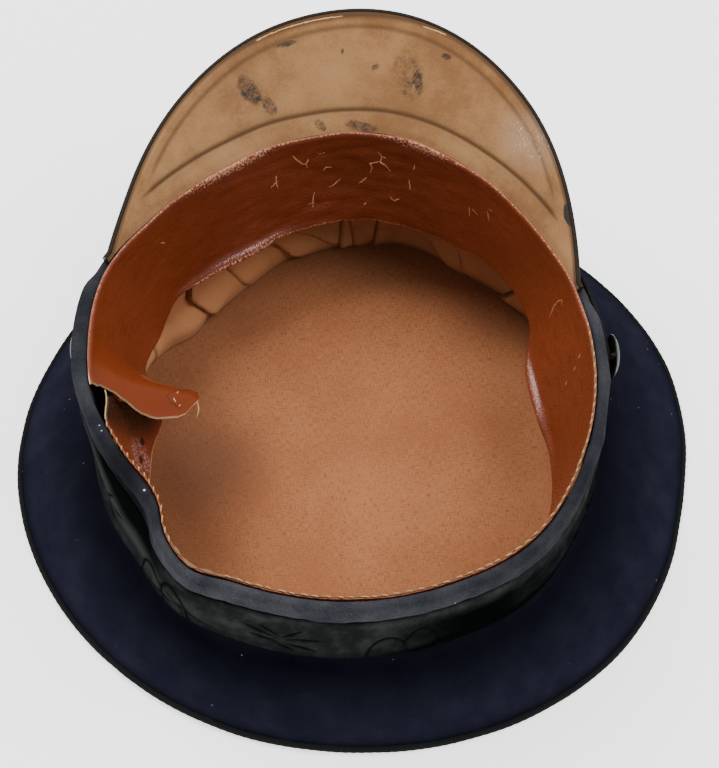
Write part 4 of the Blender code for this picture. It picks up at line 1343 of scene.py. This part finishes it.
def peak_finish():
    """Tan peak underside: mottled, with painted shade in its grooves, scuffs and a pale scrape."""
    made = Finish("tan peak leather", (0.4, 0.24, 0.12), Roughness=0.62, Specular_IOR_Level=0.2)
    clouds, grain, stains = (made.noise(*row) for row in (
        (30.0, 5.0, 0.6), (1300.0, 4.0, 0.7), (160.0, 5.0, 0.7)))
    tone = clouds * 0.55 + grain * 0.22 + stains * 0.23
    made.ground(made.span(tone, 0.38, 0.62), (0.21, 0.096, 0.034), (0.35, 0.178, 0.072))
    # Painted shade in the grooves, darker near the root, and the brown turned edge
    made.paint(made.read("dirt") * 0.82, (0.075, 0.034, 0.011))
    fleck = made.span(made.cells(420.0), 0.13, 0.06) * made.span(made.noise(110.0, 2.0), 0.5, 0.62)
    made.paint(fleck * 0.55, (0.06, 0.045, 0.03))
    where = made.turned(made.place(), 55.0, (1900.0, 700.0, 900.0))
    speckle = made.noise(1.0, 4.0, 0.8, where=where)
    rough = speckle * 0.7 + made.noise(300.0, 3.0, 0.6) * 0.5
    for middle, radii, turn, strength in SCUFFS:
        near = made.span(made.spot(middle, radii, turn), 0.0, 0.6) * strength
        made.paint(made.span(near + rough, 0.98, 1.42) * 0.97, (0.016, 0.016, 0.014))
    scrape = made.span(made.spot((0.0562, 0.0806, 0.0888), (0.012, 0.019, 0.014), 40.0), 0.0, 0.7)
    where = made.turned(made.place(), 35.0, (1500.0, 650.0, 900.0))
    streaks = made.noise(1.0, 4.0, 0.8, where=where)
    made.paint(scrape * 0.16, (0.48, 0.36, 0.27))
    made.paint(made.span(scrape * 0.24 + streaks, 0.78, 0.92) * 0.8, (0.74, 0.58, 0.46))
    paint_edge_cracks(made, speckle)
    return made.done(Normal=made.bump(grain, 0.00016, 0.5, made.bump(clouds, 0.0005, 0.3)))


def paint_edge_cracks(made, rough):
    """Pale jagged cracks along the front edge, where the tan face is bent over the board."""
    along, over = made.part(made.flat(), "X"), made.part(made.flat(), "Y")
    inset = over + rough * 0.0012
    for first, last, near_first, near_last in EDGE_CRACKS:
        first, last = distance(first), distance(last)
        inside = made.span(along, first, first + 0.0012) * made.span(along, last, last - 0.0012)
        away = inset - made.span(along, first, last, near_first, near_last)
        line = made.span(away, 0.0005, 0.0006) * made.span(away, 0.001, 0.0009)
        made.paint(line * inside, (0.64, 0.35, 0.13))


def make_floor():
    made = Finish("white table", (0.86, 0.86, 0.86), Roughness=0.9, Emission_Strength=1.6)
    made.ground(made.noise(3.0, 2.0), (0.85, 0.85, 0.85), (0.87, 0.87, 0.87))
    mesh = bpy.data.meshes.new("table")
    signs = ((-1, -1), (1, -1), (1, 1), (-1, 1))
    corners = [(x * TABLE_HALF, y * TABLE_HALF, 0.0) for x, y in signs]
    mesh.from_pydata(corners, [], [(0, 1, 2, 3)])
    mesh.materials.append(made.done())
    table = stand("table", mesh)


def make_light(name, place, power):
    light = bpy.data.lights.new(name, "AREA")
    light.shape = "DISK"
    light.size = LIGHT_SIZE
    light.energy = power
    way = Vector(LIGHT_TARGET) - Vector(place)
    turn = way.to_track_quat("-Z", "Y").to_matrix().to_4x4()
    stand(name, light, Matrix.Translation(place) @ turn)


def make_studio():
    world = bpy.data.worlds.new("studio")
    world.use_nodes = True
    backdrop = world.node_tree.nodes["Background"]
    backdrop.inputs["Color"].default_value = (1.0, 1.0, 1.0, 1.0)
    backdrop.inputs["Strength"].default_value = SKY_STRENGTH
    bpy.context.scene.world = world
    for light in LIGHTS:
        make_light(*light)


def make_camera():
    lens = bpy.data.cameras.new("photo_view")
    lens.lens = CAMERA_LENS
    lens.sensor_width = CAMERA_SENSOR
    elevation, roll = math.radians(CAMERA_ELEVATION), math.radians(CAMERA_ROLL)
    back = Vector((0.0, -math.cos(elevation), math.sin(elevation)))
    right = Vector((1.0, 0.0, 0.0))
    above = back.cross(right)
    turned_right = right * math.cos(roll) + above * math.sin(roll)
    turned_above = above * math.cos(roll) - right * math.sin(roll)
    turn = Matrix((turned_right, turned_above, back)).transposed().to_4x4()
    place = Matrix.Translation(Vector(CAMERA_TARGET) + back * CAMERA_DISTANCE)
    bpy.context.scene.camera = stand("photo_view", lens, place @ turn)


def main():
    crown_wool = wool_cloth("navy wool", (0.01, 0.0105, 0.0205), (0.0165, 0.017, 0.03),
                            (0.12, 0.13, 0.15))
    make_crown_top(crown_wool)
    make_crown_welt(plain_finish("black twill welt", (0.0085, 0.0095, 0.009), Roughness=0.9,
                                 Specular_IOR_Level=0.1))
    make_crown_side(crown_wool)
    make_band(wool_cloth("blue-grey felt", (0.019, 0.021, 0.028), (0.067, 0.068, 0.075),
                         (0.3, 0.32, 0.34), 0.5, RIM_LINT))
    make_braid(braid_finish())
    make_sweatband(sweatband_finish(), raw_edge_finish())
    make_floor_lining(cotton_cloth("brown cotton", (0.26, 0.09, 0.034), (0.42, 0.165, 0.07),
                                   (0.075, 0.032, 0.02), stains=FLOOR_SHADE_AND_STAINS))
    make_side_lining(cotton_cloth("tan cotton", (0.35, 0.148, 0.06), (0.52, 0.245, 0.108),
                                  (0.16, 0.07, 0.03), 0.3))
    make_peak_underside(peak_finish())
    make_peak_patent(plain_finish("black patent", (0.009, 0.007, 0.006), 0.12, Roughness=0.24),
                     plain_finish("turned edge of the patent", (0.026, 0.02, 0.015), Roughness=0.7,
                                  Specular_IOR_Level=0.04))
    make_chin_strap(plain_finish("dark strap leather", (0.014, 0.011, 0.0092), Roughness=0.45,
                                 Specular_IOR_Level=0.02))
    metal = plain_finish("dull silvered brass", (0.033, 0.035, 0.028), Roughness=0.5, Metallic=0.6,
                         Specular_IOR_Level=0.3)
    for button in SIDE_BUTTONS:
        make_button(metal, *button)
    make_rim_stitches(plain_finish("cream thread", (0.46, 0.3, 0.13), Roughness=0.85))
    make_rim_tape(plain_finish("brown tape", (0.2, 0.11, 0.045), Roughness=0.85))
    make_cracks("leather_cracks", CRACKS, CRACK_WIDTH,
                plain_finish("broken leather finish", (0.46, 0.2, 0.09), Roughness=0.7))
    make_cracks("leather_slit", SLIT, SLIT_WIDTH,
                plain_finish("slit in the leather", (0.02, 0.006, 0.003), Roughness=0.8))
    make_floor()
    make_studio()
    make_camera()


main()
